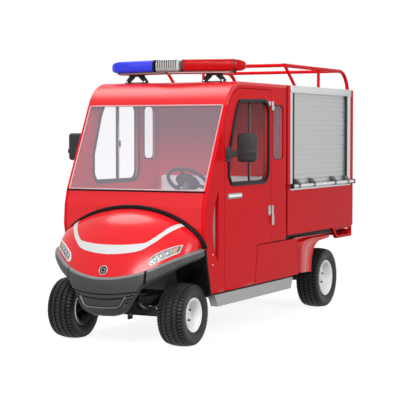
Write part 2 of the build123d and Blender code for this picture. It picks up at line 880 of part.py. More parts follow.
with BuildPart() as bumper_grooves:
    add(bumper_shell(groove_deep))
    with BuildSketch(Plane.XZ.offset(-aft(0))):
        for half, middle_z, end_z in groove_table:
            with BuildLine():
                lower = ThreePointArc((-half, end_z), (0, middle_z), (half, end_z))
                upper = ThreePointArc(
                    (-half, end_z + groove_wide), (0, middle_z + groove_wide), (half, end_z + groove_wide)
                )
                Line(lower @ 0, upper @ 0)
                Line(lower @ 1, upper @ 1)
            make_face()
    extrude(amount=mask_reach, mode=Mode.INTERSECT)
with BuildPart() as front_bumper:
    add(bumper_shell(bumper_wall))
    with BuildSketch(Plane.YZ.offset(-mask_reach)):
        with BuildLine():
            Polyline(aft_points(bumper_side_mask), close=True)
        make_face()
    extrude(amount=2 * mask_reach, mode=Mode.INTERSECT)
    with BuildSketch(Plane.XZ.offset(-aft(bumper_back))):
        with BuildLine():
            mirrored_mask = tuple((-x, z) for x, z in reversed(bumper_face_mask))
            Polyline(bumper_face_mask + mirrored_mask, close=True)
        make_face()
    extrude(amount=mask_reach, mode=Mode.INTERSECT)
    add(bumper_grooves.part, mode=Mode.SUBTRACT)
    add(cab_mass.part, mode=Mode.SUBTRACT)
    add(hood_loft(seat, hood_under), mode=Mode.SUBTRACT)
whole_pieces["front_bumper"] = front_bumper

# Dashboard with the steering column
wheel_inset = 320
wheel_back = 430
wheel_z = 1170
column_slope = radians(50)
column_back = 150
column_long = 132
column_radius = 24
dash_gap = 25
dash_outline = ((103.6, 900), (111.6, 997), (136, 1085), (330, 1062), (362, 985), (330, 900))
column_dir = Vector(0, cos(column_slope), sin(column_slope))
wheel_middle = Vector(half_cab - wheel_inset, aft(wheel_back), wheel_z)
with BuildPart() as dashboard:
    with BuildSketch(Plane.YZ.offset(-half_inside + dash_gap)):
        with BuildLine():
            Polyline(aft_points(dash_outline), close=True)
        make_face()
    extrude(amount=2 * (half_inside - dash_gap))
    column_foot = wheel_middle - column_dir * column_back
    with BuildSketch(Plane(origin=column_foot, x_dir=(1, 0, 0), z_dir=column_dir)):
        Circle(column_radius)
    extrude(amount=column_long)
whole_pieces["dashboard"] = dashboard

# Steering wheel: rim, hub and three spokes
rim_radius = 155
rim_tube = 14
boss_radius = 38
boss_high = 34
spoke_count = 3
spoke_wide = 26
spoke_thick = 12
with BuildPart() as steering_wheel:
    with Locations(Plane(origin=wheel_middle, x_dir=(1, 0, 0), z_dir=column_dir)):
        Torus(rim_radius, rim_tube)
        Cylinder(boss_radius, boss_high)
        with PolarLocations(rim_radius / 2, spoke_count, start_angle=-90):
            Box(rim_radius, spoke_wide, spoke_thick)
whole_pieces["steering_wheel"] = steering_wheel

# Bench: seat cushion and backrest
bench_inset = 45
bench_half = half_inside - bench_inset
cushion_low_z = seat_box_top_z + seat
# Side view, counted forwards from the back of the cab and up from the bench box
cushion_rows = ((557, 0), (577, 100), (562, 120), (162, 105), (162, 0))
backrest_rows = ((154, 120), (107, 535), (30.3, 535), (30.3, 120))
bench_outlines = [
    [(aft(cab_back - ahead), cushion_low_z + up) for ahead, up in rows]
    for rows in (cushion_rows, backrest_rows)
]
with BuildPart() as seat_cushions:
    with BuildSketch(Plane.YZ.offset(-bench_half)):
        for outline in bench_outlines:
            with BuildLine():
                Polyline(outline, close=True)
            make_face()
    extrude(amount=2 * bench_half)
whole_pieces["seat_cushions"] = seat_cushions

# Load box: floor, two sides with a shutter opening, front and rear panels, roof
with BuildPart() as box_floor:
    with Locations((0, aft(box_middle), box_floor_z + box_floor_thick / 2)):
        Box(2 * half_cab, box_long, box_floor_thick)
whole_pieces["box_floor"] = box_floor

opening_middle = (opening_front + opening_rear) / 2
with BuildPart() as box_sides:
    with BuildSketch(Plane.YZ.offset(half_inside)):
        with Locations((aft(box_middle), (box_floor_top + side_top_z) / 2)):
            Rectangle(box_long, side_top_z - box_floor_top)
        with Locations((aft(opening_middle), (opening_low_z + side_top_z) / 2)):
            Rectangle(opening_rear - opening_front, side_top_z - opening_low_z, mode=Mode.SUBTRACT)
    extrude(amount=wall)
    mirror(about=Plane.YZ)
whole_pieces["box_sides"] = box_sides

with BuildPart() as box_ends:
    for place in (box_front + roof_thick / 2, box_rear - roof_thick / 2):
        with Locations((0, aft(place), (box_floor_top + side_top_z) / 2)):
            Box(2 * inner_x, roof_thick, side_top_z - box_floor_top)
whole_pieces["box_ends"] = box_ends

with BuildPart() as box_roof:
    with Locations((0, aft(box_middle), roof_z - roof_thick / 2)):
        Box(2 * half_cab, box_long, roof_thick)
    long_edges = box_roof.edges().filter_by(Axis.Y).group_by(Axis.Z)[-1]
    fillet(long_edges, radius=edge_round)
whole_pieces["box_roof"] = box_roof

# Shutter frames set into the box sides, with a proud header
frame_middle = (frame_outer_front + frame_outer_rear) / 2
clear_middle = (frame_clear_front + frame_clear_rear) / 2
clear_long = frame_clear_rear - frame_clear_front
clear_high = frame_clear_high_z - frame_clear_low_z
clear_middle_z = (frame_clear_low_z + frame_clear_high_z) / 2
curtain_middle_z = (curtain_low_z + curtain_high_z) / 2
with BuildPart() as shutter_frames:
    with BuildSketch(Plane.YZ.offset(half_cab)):
        with Locations((aft(frame_middle), (frame_outer_low_z + frame_outer_high_z) / 2)):
            Rectangle(frame_outer_rear - frame_outer_front, frame_outer_high_z - frame_outer_low_z)
        with Locations((aft(clear_middle), clear_middle_z)):
            Rectangle(clear_long, clear_high, mode=Mode.SUBTRACT)
    extrude(amount=frame_proud)
    with BuildSketch(Plane.YZ.offset(half_cab)):
        with Locations((aft(frame_middle), (frame_clear_high_z + frame_outer_high_z) / 2)):
            Rectangle(frame_outer_rear - frame_outer_front, frame_outer_high_z - frame_clear_high_z)
    extrude(amount=header_proud)
    with BuildSketch(Plane.YZ.offset(half_cab)):
        with Locations((aft(opening_middle), (opening_low_z + frame_outer_high_z) / 2)):
            Rectangle(opening_rear - opening_front - 2 * seat, frame_outer_high_z - opening_low_z - 2 * seat)
        with Locations((aft(clear_middle), clear_middle_z)):
            Rectangle(clear_long, clear_high, mode=Mode.SUBTRACT)
    extrude(amount=-guide_deep)
    with BuildSketch(Plane.YZ.offset(curtain_x - seat)):
        with Locations((aft((curtain_front + curtain_rear) / 2), curtain_middle_z)):
            Rectangle(curtain_long + 2 * seat, curtain_high_z - curtain_low_z + 2 * seat)
    extrude(amount=curtain_thick + slat_groove + 2 * seat, mode=Mode.SUBTRACT)
    mirror(about=Plane.YZ)
whole_pieces["shutter_frames"] = shutter_frames

# Shutter curtain: a sheet of rounded slats behind the frame, left side
slat_x = curtain_x + curtain_thick
with BuildPart() as shutter_left_curtain:
    with BuildSketch(Plane.XZ.offset(-aft(curtain_rear))):
        with BuildLine():
            Polyline(
                (slat_x, curtain_high_z),
                (curtain_x, curtain_high_z),
                (curtain_x, curtain_low_z),
                (slat_x, curtain_low_z),
            )
            for index in range(slat_count):
                slat_low = curtain_low_z + index * slat_pitch
                ThreePointArc(
                    (slat_x, slat_low),
                    (slat_x + slat_groove, slat_low + slat_pitch / 2),
                    (slat_x, slat_low + slat_pitch),
                )
        make_face()
    extrude(amount=curtain_long)
left_pieces["shutter_left_curtain"] = shutter_left_curtain

# Lift bar along the foot of the curtain, with its four wedge hooks and end blocks
hook_shares = (0.0534, 0.3158, 0.7126, 0.966)
hook_x = slat_x + slat_groove + seat
hook_foot = 7
hook_rise = 55
hook_low_z = lift_bar_z + hook_foot
hook_high_z = lift_bar_z + hook_rise
hook_lip = 13
hook_wide = 42
bar_front_inset = 26
bar_rear_inset = 33
bar_front = box_front + bar_front_inset
bar_rear = box_rear - bar_rear_inset
bar_block = (32, 28, 40)
hook_outline = (
    (hook_x, hook_low_z),
    (lift_bar_x, hook_low_z),
    (lift_bar_x, lift_bar_z + lift_bar_radius),
    (hook_x + hook_lip, hook_high_z),
    (hook_x, hook_high_z),
)
with BuildPart() as shutter_left_bar:
    with Locations(Location((lift_bar_x, aft((bar_front + bar_rear) / 2), lift_bar_z), (90, 0, 0))):
        Cylinder(lift_bar_radius, bar_rear - bar_front)
    for share in hook_shares:
        with BuildSketch(Plane.XZ.offset(-aft(curtain_front + share * curtain_long + hook_wide / 2))):
            with BuildLine():
                Polyline(hook_outline, close=True)
            make_face()
        extrude(amount=hook_wide)
    for place in (bar_front + bar_block[1] / 2, bar_rear - bar_block[1] / 2):
        with Locations((lift_bar_x, aft(place), lift_bar_z)):
            Box(*bar_block)
left_pieces["shutter_left_bar"] = shutter_left_bar

# Roof rack of bent tube
rack_inset = 45
rack_x = half_cab - rack_inset
rack_rise = 162
rack_z = roof_z + rack_rise
rack_radius = 16
rack_bar_radius = 14.5
rack_strut_radius = 13
rack_sink = 12
rack_front_inset = 6
rack_rear_inset = 31
rack_bend_inset = 233
rack_strut_back = 30
rack_foot_back = 238
rack_bar_ahead = 10
rack_mid_share = 0.52
rack_front = box_front + rack_front_inset
rack_rear = box_rear - rack_rear_inset
rack_bend = box_rear - rack_bend_inset
rack_strut_head = rack_front + rack_strut_back
rack_foot = rack_front + rack_foot_back
rack_mid = rack_front + rack_mid_share * (rack_rear - rack_front)
rack_rear_bar = rack_bend - rack_bar_ahead
rack_overrun = 20
strut_run = rack_foot - rack_strut_head
with BuildPart() as roof_rack:
    with BuildLine(Plane.YZ.offset(rack_x)) as rack_path:
        top = Line((aft(rack_front), rack_z), (aft(rack_bend), rack_z))
        TangentArc([top @ 1, (aft(rack_rear), roof_z - rack_sink)], tangent=top % 1)
    with BuildSketch(Plane(origin=rack_path.line @ 0, z_dir=rack_path.line % 0)):
        Circle(rack_radius)
    sweep()
    strut_plane = Plane(
        origin=(rack_x, aft(rack_strut_head), rack_z),
        x_dir=(1, 0, 0),
        z_dir=(0, strut_run, -rack_rise),
    )
    with BuildSketch(strut_plane):
        Circle(rack_strut_radius)
    extrude(amount=hypot(strut_run, rack_rise) + rack_overrun)
    with Locations((rack_x, aft(rack_mid), roof_z - rack_sink)):
        Cylinder(rack_strut_radius, rack_rise + rack_sink, align=(Align.CENTER, Align.CENTER, Align.MIN))
    split(bisect_by=Plane.XY.offset(roof_z + seat), keep=Keep.TOP)
    mirror(about=Plane.YZ)
    for place in (rack_strut_head, rack_rear_bar):
        with Locations(Location((0, aft(place), rack_z), (0, 90, 0))):
            Cylinder(rack_bar_radius, 2 * rack_x)
whole_pieces["roof_rack"] = roof_rack

# Light bar: a shallow V with a tray on splayed feet, two lenses and a ribbed speaker
bar_inset = 23
bar_middle = 664
bar_trail = 156
bar_half = half_cab - bar_inset
bar_sweep = atan2(bar_trail, bar_half)
bar_reach = hypot(bar_half, bar_trail)
tray_low_rise = 71
tray_high_rise = 93
lens_high_rise = 171
tray_low_z = roof_z + tray_low_rise
tray_high_z = roof_z + tray_high_rise
lens_high_z = roof_z + lens_high_rise
lens_middle_z = (tray_high_z + lens_high_z) / 2
lens_high = lens_high_z - tray_high_z
lens_round = 24
bar_depth = 140
tray_inset = 16
tray_short = 45
speaker_half = 96
speaker_gap = 24
speaker_inset = 10
speaker_deep = bar_depth - speaker_inset
rib_count = 8
rib_pitch = 2 * speaker_half / rib_count
rib_gap = 9
rib_deep = 7
foot_inset = 260
foot_x = half_cab - foot_inset
foot_y = bar_middle + foot_x * tan(bar_sweep)
foot_low = (130, 60)
foot_high = (90, 44)
half_plane = Plane(
    origin=(0, aft(bar_middle), 0),
    x_dir=(-sin(bar_sweep), cos(bar_sweep), 0),
    z_dir=(cos(bar_sweep), sin(bar_sweep), 0),
)
with BuildPart() as lightbar_base:
    with BuildSketch(half_plane):
        with Locations((0, (tray_low_z + tray_high_z) / 2)):
            Rectangle(bar_depth - tray_inset, tray_high_z - tray_low_z)
    extrude(amount=bar_reach - tray_short)
    split(bisect_by=Plane.YZ, keep=Keep.TOP)
    with BuildSketch(Plane((foot_x, aft(foot_y), roof_z + seat))):
        Rectangle(*foot_low)
    with BuildSketch(Plane((foot_x, aft(foot_y), tray_low_z))):
        Rectangle(*foot_high)
    loft()
    mirror(about=Plane.YZ)
whole_pieces["lightbar_base"] = lightbar_base

with BuildPart() as lightbar_lens_red:
    with BuildSketch(half_plane.offset(speaker_half + speaker_gap)):
        with Locations((0, lens_middle_z)):
            RectangleRounded(bar_depth, lens_high, lens_round)
    extrude(amount=bar_reach - speaker_half - speaker_gap)
    end_edges = lightbar_lens_red.faces().sort_by(Axis(half_plane.origin, half_plane.z_dir))[-1].edges()
    fillet(end_edges, radius=lens_round - seat)
whole_pieces["lightbar_lens_red"] = lightbar_lens_red

with BuildPart() as lightbar_lens_blue:
    mirror(lightbar_lens_red.part, about=Plane.YZ)
whole_pieces["lightbar_lens_blue"] = lightbar_lens_blue

with BuildPart() as lightbar_speaker:
    with Locations((0, aft(bar_middle), lens_middle_z)):
        Box(2 * speaker_half, speaker_deep, lens_high)
    for index in range(1, rib_count):
        rib_x = index * rib_pitch - speaker_half
        with Locations((rib_x, aft(bar_middle), lens_high_z)):
            Box(rib_gap, speaker_deep, 2 * rib_deep, mode=Mode.SUBTRACT)
        with Locations((rib_x, aft(bar_middle) - speaker_deep / 2, lens_high_z)):
            Box(rib_gap, 2 * rib_deep, lens_high, mode=Mode.SUBTRACT)
whole_pieces["lightbar_speaker"] = lightbar_speaker

# Rear bumper: a bent loop under each rear corner and the bar between them
loop_in = 10
loop_bar = 22
loop_high_z = box_floor_z - seat
loop_drop = 100
loop_low_z = box_floor_z - loop_drop
loop_start = 41
loop_bend = 154
loop_outline = (
    (wheelbase + loop_start, loop_high_z),
    (wheelbase + loop_bend, loop_low_z),
    (box_rear, loop_low_z),
    (box_rear, loop_high_z),
)
tail_bar_deep = 40
tail_bar_high = 64
with BuildPart() as rear_bumper:
    with BuildSketch(Plane.YZ.offset(half_inside - loop_in)):
        with BuildLine():
            Polyline(aft_points(loop_outline), close=True)
        make_face()
        offset(amount=-loop_bar, kind=Kind.INTERSECTION, mode=Mode.SUBTRACT)
    extrude(amount=wall)
    mirror(about=Plane.YZ)
    with Locations((0, aft(box_rear), loop_low_z)):
        Box(2 * half_inside, tail_bar_deep, tail_bar_high, align=(Align.CENTER, Align.MAX, Align.MIN))
whole_pieces["rear_bumper"] = rear_bumper

# Tail lamps on the rear panel
tail_inset = 100
tail_rise = 100
tail_x = half_cab - tail_inset
tail_z = box_floor_top + tail_rise
tail_wide = 110
tail_high = 210
tail_corner = 16
with BuildPart() as tail_lamps:
    with BuildSketch(Plane.XZ.offset(-aft(box_rear))):
        with Locations((tail_x, tail_z), (-tail_x, tail_z)):
            RectangleRounded(tail_wide, tail_high, tail_corner)
    extrude(amount=-tail_thick)
whole_pieces["tail_lamps"] = tail_lamps

# Fixed hinge halves with their pins, two on each side
upper_hinge_low = 209
upper_hinge_high = 139
lower_hinge = (806, 962)
hinge_table = (
    # low z, high z
    (roof_z - upper_hinge_low, roof_z - upper_hinge_high),
    lower_hinge,
)
hinge_barrel = 9
hinge_pin = 4
pin_short = 2
hinge_leaf = 6
leaf_long = 48
with BuildPart() as door_hinges:
    for low, high in hinge_table:
        middle = (low + high) / 2
        with Locations((door_hinge_x, aft(door_hinge_y), low)):
            Cylinder(hinge_barrel, middle - low, align=(Align.CENTER, Align.CENTER, Align.MIN))
            Cylinder(hinge_pin, high - low - pin_short, align=(Align.CENTER, Align.CENTER, Align.MIN))
        with Locations((half_cab, aft(door_hinge_y), low)):
            Box(hinge_leaf, leaf_long, middle - low, align=(Align.MIN, Align.MIN, Align.MIN))
    mirror(about=Plane.YZ)
whole_pieces["door_hinges"] = door_hinges

# Left door: panel with the window cut out, glass, handle and hinge leaves, mirror
with BuildPart() as door_left_panel:
    with BuildSketch(Plane.YZ.offset(half_inside)):
        add(door_shape(0))
        add(window_shape(0), mode=Mode.SUBTRACT)
    extrude(amount=wall)
left_pieces["door_left_panel"] = door_left_panel

with BuildPart() as door_left_glass:
    with BuildSketch(Plane.YZ.offset(glass_x)):
        add(window_shape(-seat))
    extrude(amount=glass_thick)
left_pieces["door_left_glass"] = door_left_glass

handle_back = 175
handle_z = 1064
handle_centre = (aft(door_front + handle_back), handle_z)
handle_dish = (250, 42)
handle_dish_round = 18
handle_dish_thick = 4
handle_blade = (196, 22)
handle_blade_round = 9
handle_thick = 12
with BuildPart() as door_left_fittings:
    with BuildSketch(Plane.YZ.offset(half_cab)):
        with Locations(handle_centre):
            RectangleRounded(*handle_dish, handle_dish_round)
    extrude(amount=handle_dish_thick)
    with BuildSketch(Plane.YZ.offset(half_cab)):
        with Locations(handle_centre):
            RectangleRounded(*handle_blade, handle_blade_round)
    extrude(amount=handle_thick)
    for low, high in hinge_table:
        middle = (low + high) / 2 + seat
        with Locations((door_hinge_x, aft(door_hinge_y), middle)):
            Cylinder(hinge_barrel, high - middle, align=(Align.CENTER, Align.CENTER, Align.MIN))
            Cylinder(
                hinge_pin + seat,
                high - middle,
                align=(Align.CENTER, Align.CENTER, Align.MIN),
                mode=Mode.SUBTRACT,
            )
        with Locations((half_cab, aft(door_hinge_y), middle)):
            Box(hinge_leaf, leaf_long, high - middle, align=(Align.MIN, Align.MAX, Align.MIN))
left_pieces["door_left_fittings"] = door_left_fittings

mirror_wide = 158
mirror_high = 215
mirror_out = 135
mirror_x = half_cab + mirror_out
mirror_z = 1428
mirror_corner = 26
mirror_back = 73
mirror_front = door_front + mirror_back
mirror_deep = 54
bracket_back = 41
bracket_y = door_front + bracket_back
bracket_z = 1385
bracket_size = (14, 60, 90)
arm_radius = 10
arm_upper = 3
arm_lower = -29
arm_foot_sink = 4
arm_head_sink = 18
arm_levels = (bracket_z + arm_upper, bracket_z + arm_lower)
arm_start = Vector(half_cab + arm_foot_sink, aft(bracket_y), 0)
arm_end = Vector(mirror_x - mirror_wide / 2 + arm_head_sink, aft(mirror_front + mirror_deep / 2), 0)
with BuildPart() as door_left_mirror:
    with BuildSketch(Plane.XZ.offset(-aft(mirror_front))):
        with Locations((mirror_x, mirror_z)):
            RectangleRounded(mirror_wide, mirror_high, mirror_corner)
    extrude(amount=-mirror_deep)
    with Locations((half_cab, aft(bracket_y), bracket_z)):
        Box(*bracket_size, align=(Align.MIN, Align.CENTER, Align.CENTER))
    for level in arm_levels:
        with BuildSketch(Plane(origin=arm_start + Vector(0, 0, level), z_dir=arm_end - arm_start)):
            Circle(arm_radius)
        extrude(amount=(arm_end - arm_start).length)
    split(bisect_by=Plane.YZ.offset(half_cab), keep=Keep.TOP)
left_pieces["door_left_mirror"] = door_left_mirror

# Left steering knuckle: boss round the kingpin, spindle, arm and tie rod pin
knuckle_bore_radius = 10
knuckle_radius = 20
knuckle_half_height = 44
arm_reach = 120
arm_half_width = 9
arm_drop = 33
arm_thick = 14
arm_low_z = front_hub_z - arm_drop
arm_high_z = arm_low_z + arm_thick
tie_eye_gap = 2
tie_eye_thick = 18
tie_eye_low_z = arm_high_z + tie_eye_gap
tie_eye_high_z = tie_eye_low_z + tie_eye_thick
tie_pin_radius = 6
tie_pin_end = 6
tie_pin_top_z = tie_eye_high_z + tie_pin_end
tie_eye_radius = 15
tie_eye_bore = 6.4
tie_rod_radius = 8
tie_rod_tuck = 3
arm_y = front_axle_y + arm_reach
with BuildPart() as knuckle_left:
    with Locations((kingpin_x, front_axle_y, front_hub_z)):
        Cylinder(knuckle_radius, 2 * knuckle_half_height)
    with Locations(Location((kingpin_x, front_axle_y, front_hub_z), (0, 90, 0))):
        Cylinder(
            spindle_radius,
            front_half_track + spindle_end - kingpin_x,
            align=(Align.CENTER, Align.CENTER, Align.MIN),
        )
    with Locations((kingpin_x, front_axle_y + arm_reach / 2, (arm_low_z + arm_high_z) / 2)):
        Box(2 * arm_half_width, arm_reach, arm_high_z - arm_low_z)
    with Locations((kingpin_x, arm_y, (arm_low_z + arm_high_z) / 2)):
        Cylinder(tie_eye_radius, arm_high_z - arm_low_z)
    with Locations((kingpin_x, arm_y, (arm_low_z + tie_pin_top_z) / 2)):
        Cylinder(tie_pin_radius, tie_pin_top_z - arm_low_z)
    with Locations((kingpin_x, front_axle_y, front_hub_z)):
        Hole(knuckle_bore_radius, depth=2 * knuckle_half_height)
left_pieces["knuckle_left"] = knuckle_left

# Tie rod between the two steering arms
tie_eye_z = (tie_eye_low_z + tie_eye_high_z) / 2
with BuildPart() as tie_rod:
    with Locations(Location((0, arm_y, tie_eye_z), (0, 90, 0))):
        Cylinder(tie_rod_radius, 2 * (kingpin_x - tie_eye_radius + tie_rod_tuck))
    for side in (1, -1):
        with Locations((side * kingpin_x, arm_y, tie_eye_z)):
            Cylinder(tie_eye_radius, tie_eye_high_z - tie_eye_low_z)
            Cylinder(tie_eye_bore, tie_eye_high_z - tie_eye_low_z, mode=Mode.SUBTRACT)
whole_pieces["tie_rod"] = tie_rod

# Wheels: tyre and deep dish rim, left side of each axle
bead_share = 0.39
shoulder_width_share = 0.43
shoulder_drop = 12
bead_rise = 4
flange_thick = 9
dish = 12
dish_thick = 10
lip_step = 6
well_step = 14
ring_wide = 36
ring_proud = 16
ring_slope = 14
cap_proud = 30
cap_thick = 10
cap_step = 4
hub_inner = 40
for end, axle_y, half_track, tyre_radius, tyre_width, flange_radius, barrel_radius in wheel_table:
    spin = Axis((0, axle_y, tyre_radius), (1, 0, 0))
    hub_plane = Plane(origin=(half_track, axle_y, tyre_radius), x_dir=(1, 0, 0), z_dir=(0, -1, 0))
    bead = bead_share * tyre_width
    shoulder = shoulder_width_share * tyre_width
    bulge_radius = (flange_radius + tyre_radius) / 2
    with BuildPart() as tyre:
        with BuildSketch(hub_plane):
            with BuildLine():
                left_bead = Line((-bead, barrel_radius + rim_seat), (-bead, flange_radius + bead_rise))
                left_wall = ThreePointArc(
                    left_bead @ 1,
                    (-tyre_width / 2, bulge_radius),
                    (-shoulder, tyre_radius - shoulder_drop),
                )
                tread = ThreePointArc(
                    left_wall @ 1,
                    (0, tyre_radius),
                    (shoulder, tyre_radius - shoulder_drop),
                )
                right_wall = ThreePointArc(
                    tread @ 1,
                    (tyre_width / 2, bulge_radius),
                    (bead, flange_radius + bead_rise),
                )
                right_bead = Line(right_wall @ 1, (bead, barrel_radius + rim_seat))
                Line(right_bead @ 1, left_bead @ 0)
            make_face()
        revolve(axis=spin)
    left_pieces[f"wheel_{end}_left_tyre"] = tyre

    lip = bead + rim_seat
    lip_out = lip + flange_thick
    with BuildPart() as rim:
        with BuildSketch(hub_plane):
            with BuildLine():
                Polyline(
                    (-lip_out, flange_radius),
                    (-lip, flange_radius),
                    (-lip, barrel_radius),
                    (lip, barrel_radius),
                    (lip, flange_radius),
                    (lip_out, flange_radius),
                    (lip_out, barrel_radius - lip_step),
                    (dish + dish_thick, barrel_radius - well_step),
                    (dish, hub_radius + ring_wide),
                    (dish + ring_proud, hub_radius + ring_wide - ring_slope),
                    (dish + ring_proud, hub_radius),
                    (dish + cap_proud, hub_radius - cap_step),
                    (dish + cap_proud, 0),
                    (dish + cap_proud - cap_thick, 0),
                    (dish + cap_proud - cap_thick, hub_bore_radius),
                    (-hub_inner, hub_bore_radius),
                    (-hub_inner, hub_radius),
                    (dish - dish_thick, hub_radius),
                    (dish - dish_thick, barrel_radius - well_step),
                    (-lip_out, barrel_radius - lip_step),
                    close=True,
                )
            make_face()
        revolve(axis=spin)
        with Locations(Location((half_track + dish + ring_proud, axle_y, tyre_radius), (0, 90, 0))):
            with PolarLocations(lug_circle, lug_count):
                Cylinder(lug_radius, lug_long)
    left_pieces[f"wheel_{end}_left_rim"] = rim

# Every piece is written on its own; the right side mirrors the left
for name, piece in whole_pieces.items():
    piece.part.label = name
    export_step(piece.part, f"parts/{name}.step")

for name, piece in left_pieces.items():
    piece.part.label = name
    export_step(piece.part, f"parts/{name}.step")
    with BuildPart() as twin:
        mirror(piece.part, about=Plane.YZ)
    twin_name = name.replace("left", "right")
    twin.part.label = twin_name
    export_step(twin.part, f"parts/{twin_name}.step")
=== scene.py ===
import math

import bmesh
import bpy
import numpy as np
from bpy.props import FloatProperty, FloatVectorProperty, IntProperty, PointerProperty
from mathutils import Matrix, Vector


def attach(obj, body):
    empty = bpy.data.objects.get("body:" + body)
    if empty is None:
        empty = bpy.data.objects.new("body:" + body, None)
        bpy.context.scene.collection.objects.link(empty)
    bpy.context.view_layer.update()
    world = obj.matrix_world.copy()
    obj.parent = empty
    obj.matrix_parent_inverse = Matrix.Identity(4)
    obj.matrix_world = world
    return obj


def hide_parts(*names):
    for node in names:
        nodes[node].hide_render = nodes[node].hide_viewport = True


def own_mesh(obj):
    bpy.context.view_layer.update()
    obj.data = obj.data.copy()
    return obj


bl_info = {
    "name": "Small fire truck dressing",
    "version": (1, 0, 0),
    "blender": (4, 5, 0),
    "location": "View3D > Sidebar > Fire truck",
    "description": "Dresses the packed fire truck with surfaces, finishes and a plain studio",
    "category": "Object",
}

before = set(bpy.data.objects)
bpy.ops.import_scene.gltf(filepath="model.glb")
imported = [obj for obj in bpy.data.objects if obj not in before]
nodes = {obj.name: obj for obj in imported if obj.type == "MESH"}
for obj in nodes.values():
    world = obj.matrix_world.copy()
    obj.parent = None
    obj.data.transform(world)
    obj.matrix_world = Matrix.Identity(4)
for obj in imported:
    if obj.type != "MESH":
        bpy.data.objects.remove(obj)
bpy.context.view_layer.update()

FRONT_AXLE = -1.362
REAR_AXLE = 1.205
HALF_CAB = 0.6
SIDES = (("left", 1.0), ("right", -1.0))
# Added to places whose Y is counted from the front axle
AFT = np.array([0.0, FRONT_AXLE, 0.0])


# Shapes


def aft(distance):
    """Y of a place that lies this far behind the front axle, in metres."""
    return np.asarray(distance, float) + FRONT_AXLE


def smooth_step(low, high, value):
    """0 below low, 1 above high, a cubic ease between them."""
    t = np.clip((value - low) / (high - low), 0.0, 1.0)
    return t * t * (3.0 - 2.0 * t)


def turns(count):
    """Angles evenly spaced round a circle."""
    return np.linspace(0.0, 2.0 * np.pi, count, endpoint=False)


def unit(vectors):
    """Vectors brought to a length of one."""
    return vectors / np.maximum(np.linalg.norm(vectors, axis=-1, keepdims=True), 1e-12)


def grid_shell(points, wrap_u=False, wrap_v=False, cap_u=False, index=0):
    """Quads over a grid of points, joined round where it wraps, with flat end caps on request."""
    rows, cols = points.shape[:2]
    u = np.arange(rows if wrap_u else rows - 1)
    v = np.arange(cols if wrap_v else cols - 1)
    i, j = np.meshgrid(u, v, indexing="ij")
    k, m = (i + 1) % rows, (j + 1) % cols
    quads = np.stack([i * cols + j, k * cols + j, k * cols + m, i * cols + m], -1).reshape(-1, 4)
    faces = quads.tolist()
    if cap_u:
        faces.append(list(range(cols))[::-1])
        faces.append(list(range((rows - 1) * cols, rows * cols)))
    return points.reshape(-1, 3), faces, index


def mirrored(shells):
    """The same shells reflected in the plane X = 0."""
    flip = np.array([-1.0, 1.0, 1.0])
    return [(points * flip, [face[::-1] for face in faces], index) for points, faces, index in shells]


def both(shells):
    """Shells of the left side with their reflections."""
    return shells + mirrored(shells)


def revolved(profile, centre, count, index=0):
    """A profile of (axial, radius) pairs turned round an X axis through centre."""
    axial, radius = np.asarray(profile, float).T
    turn = turns(count)[:, None]
    x = centre[0] + np.broadcast_to(axial, (count, len(axial)))
    y = centre[1] + np.cos(turn) * radius
    z = centre[2] + np.sin(turn) * radius
    return grid_shell(np.stack([x, y, z], -1), wrap_u=True, wrap_v=True, index=index)


def turned(profile, centre, normal, count=48, index=0):
    """A closed profile of (radius, height) pairs turned round a slanted axis through centre."""
    profile = np.asarray(profile, float)
    across = unit(np.cross(normal, (0.0, 0.0, 1.0)))
    over = np.cross(normal, across)
    turn = turns(count)[:, None, None]
    ring = np.cos(turn) * across + np.sin(turn) * over
    points = centre + profile[None, :, :1] * ring + profile[None, :, 1:] * np.asarray(normal)
    return grid_shell(points, wrap_u=True, wrap_v=True, index=index)


def swept(path, profile, up=(0, 0, 1), index=0):
    """A closed profile of (across, over) pairs carried along a path, with flat ends."""
    tangent = unit(np.gradient(path, axis=0))
    across = unit(np.cross(tangent, np.asarray(up, float)))
    over = np.cross(across, tangent)
    points = path[:, None] + across[:, None] * profile[None, :, :1] + over[:, None] * profile[None, :, 1:]
    return grid_shell(points, wrap_v=True, cap_u=True, index=index)


def circle(radius, count):
    """A circle as (across, over) pairs."""
    turn = turns(count)
    return np.stack([np.cos(turn), np.sin(turn)], -1) * radius


def rounded(points, radius, count):
    """A closed outline whose corners are arcs: each arc is tangent to both of its sides."""
    points = np.asarray(points, float)
    before = unit(np.roll(points, 1, 0) - points)
    after = unit(np.roll(points, -1, 0) - points)
    half = np.arccos(np.clip((before * after).sum(1), -1, 1)) / 2
    radius = np.broadcast_to(np.asarray(radius, float), half.shape)
    centre = points + unit(before + after) * (radius / np.sin(half))[:, None]
    first = points + before * (radius / np.tan(half))[:, None] - centre
    last = points + after * (radius / np.tan(half))[:, None] - centre
    blend = np.linspace(0.0, 1.0, count)[None, :, None]
    arc = first[:, None] * (1 - blend) + last[:, None] * blend
    arc *= radius[:, None, None] / np.maximum(np.linalg.norm(arc, axis=2, keepdims=True), 1e-9)
    return (centre[:, None] + arc).reshape(-1, 2)


def inset(outline, amount):
    """A closed outline moved inwards along its own normals."""
    step = np.roll(outline, -1, 0) - np.roll(outline, 1, 0)
    normal = unit(np.stack([-step[:, 1], step[:, 0]], -1))
    after = np.roll(outline, -1, 0)
    area = (outline[:, 0] * after[:, 1] - after[:, 0] * outline[:, 1]).sum()
    return outline + normal * amount * np.sign(area)


def plate(outline, low, high, bevel, place, index=0):
    """A flat plate of a closed outline with rounded rims, laid by place(outline, level)."""
    turn = np.linspace(0.0, np.pi / 2, 4)
    rise, run = bevel * (1 - np.cos(turn)), bevel * (1 - np.sin(turn))
    levels = np.concatenate([low + rise, high - rise[::-1]])
    insets = np.concatenate([run, run[::-1]])
    rings = [place(inset(outline, amount), level) for amount, level in zip(insets, levels)]
    return grid_shell(np.stack(rings), wrap_v=True, cap_u=True, index=index)


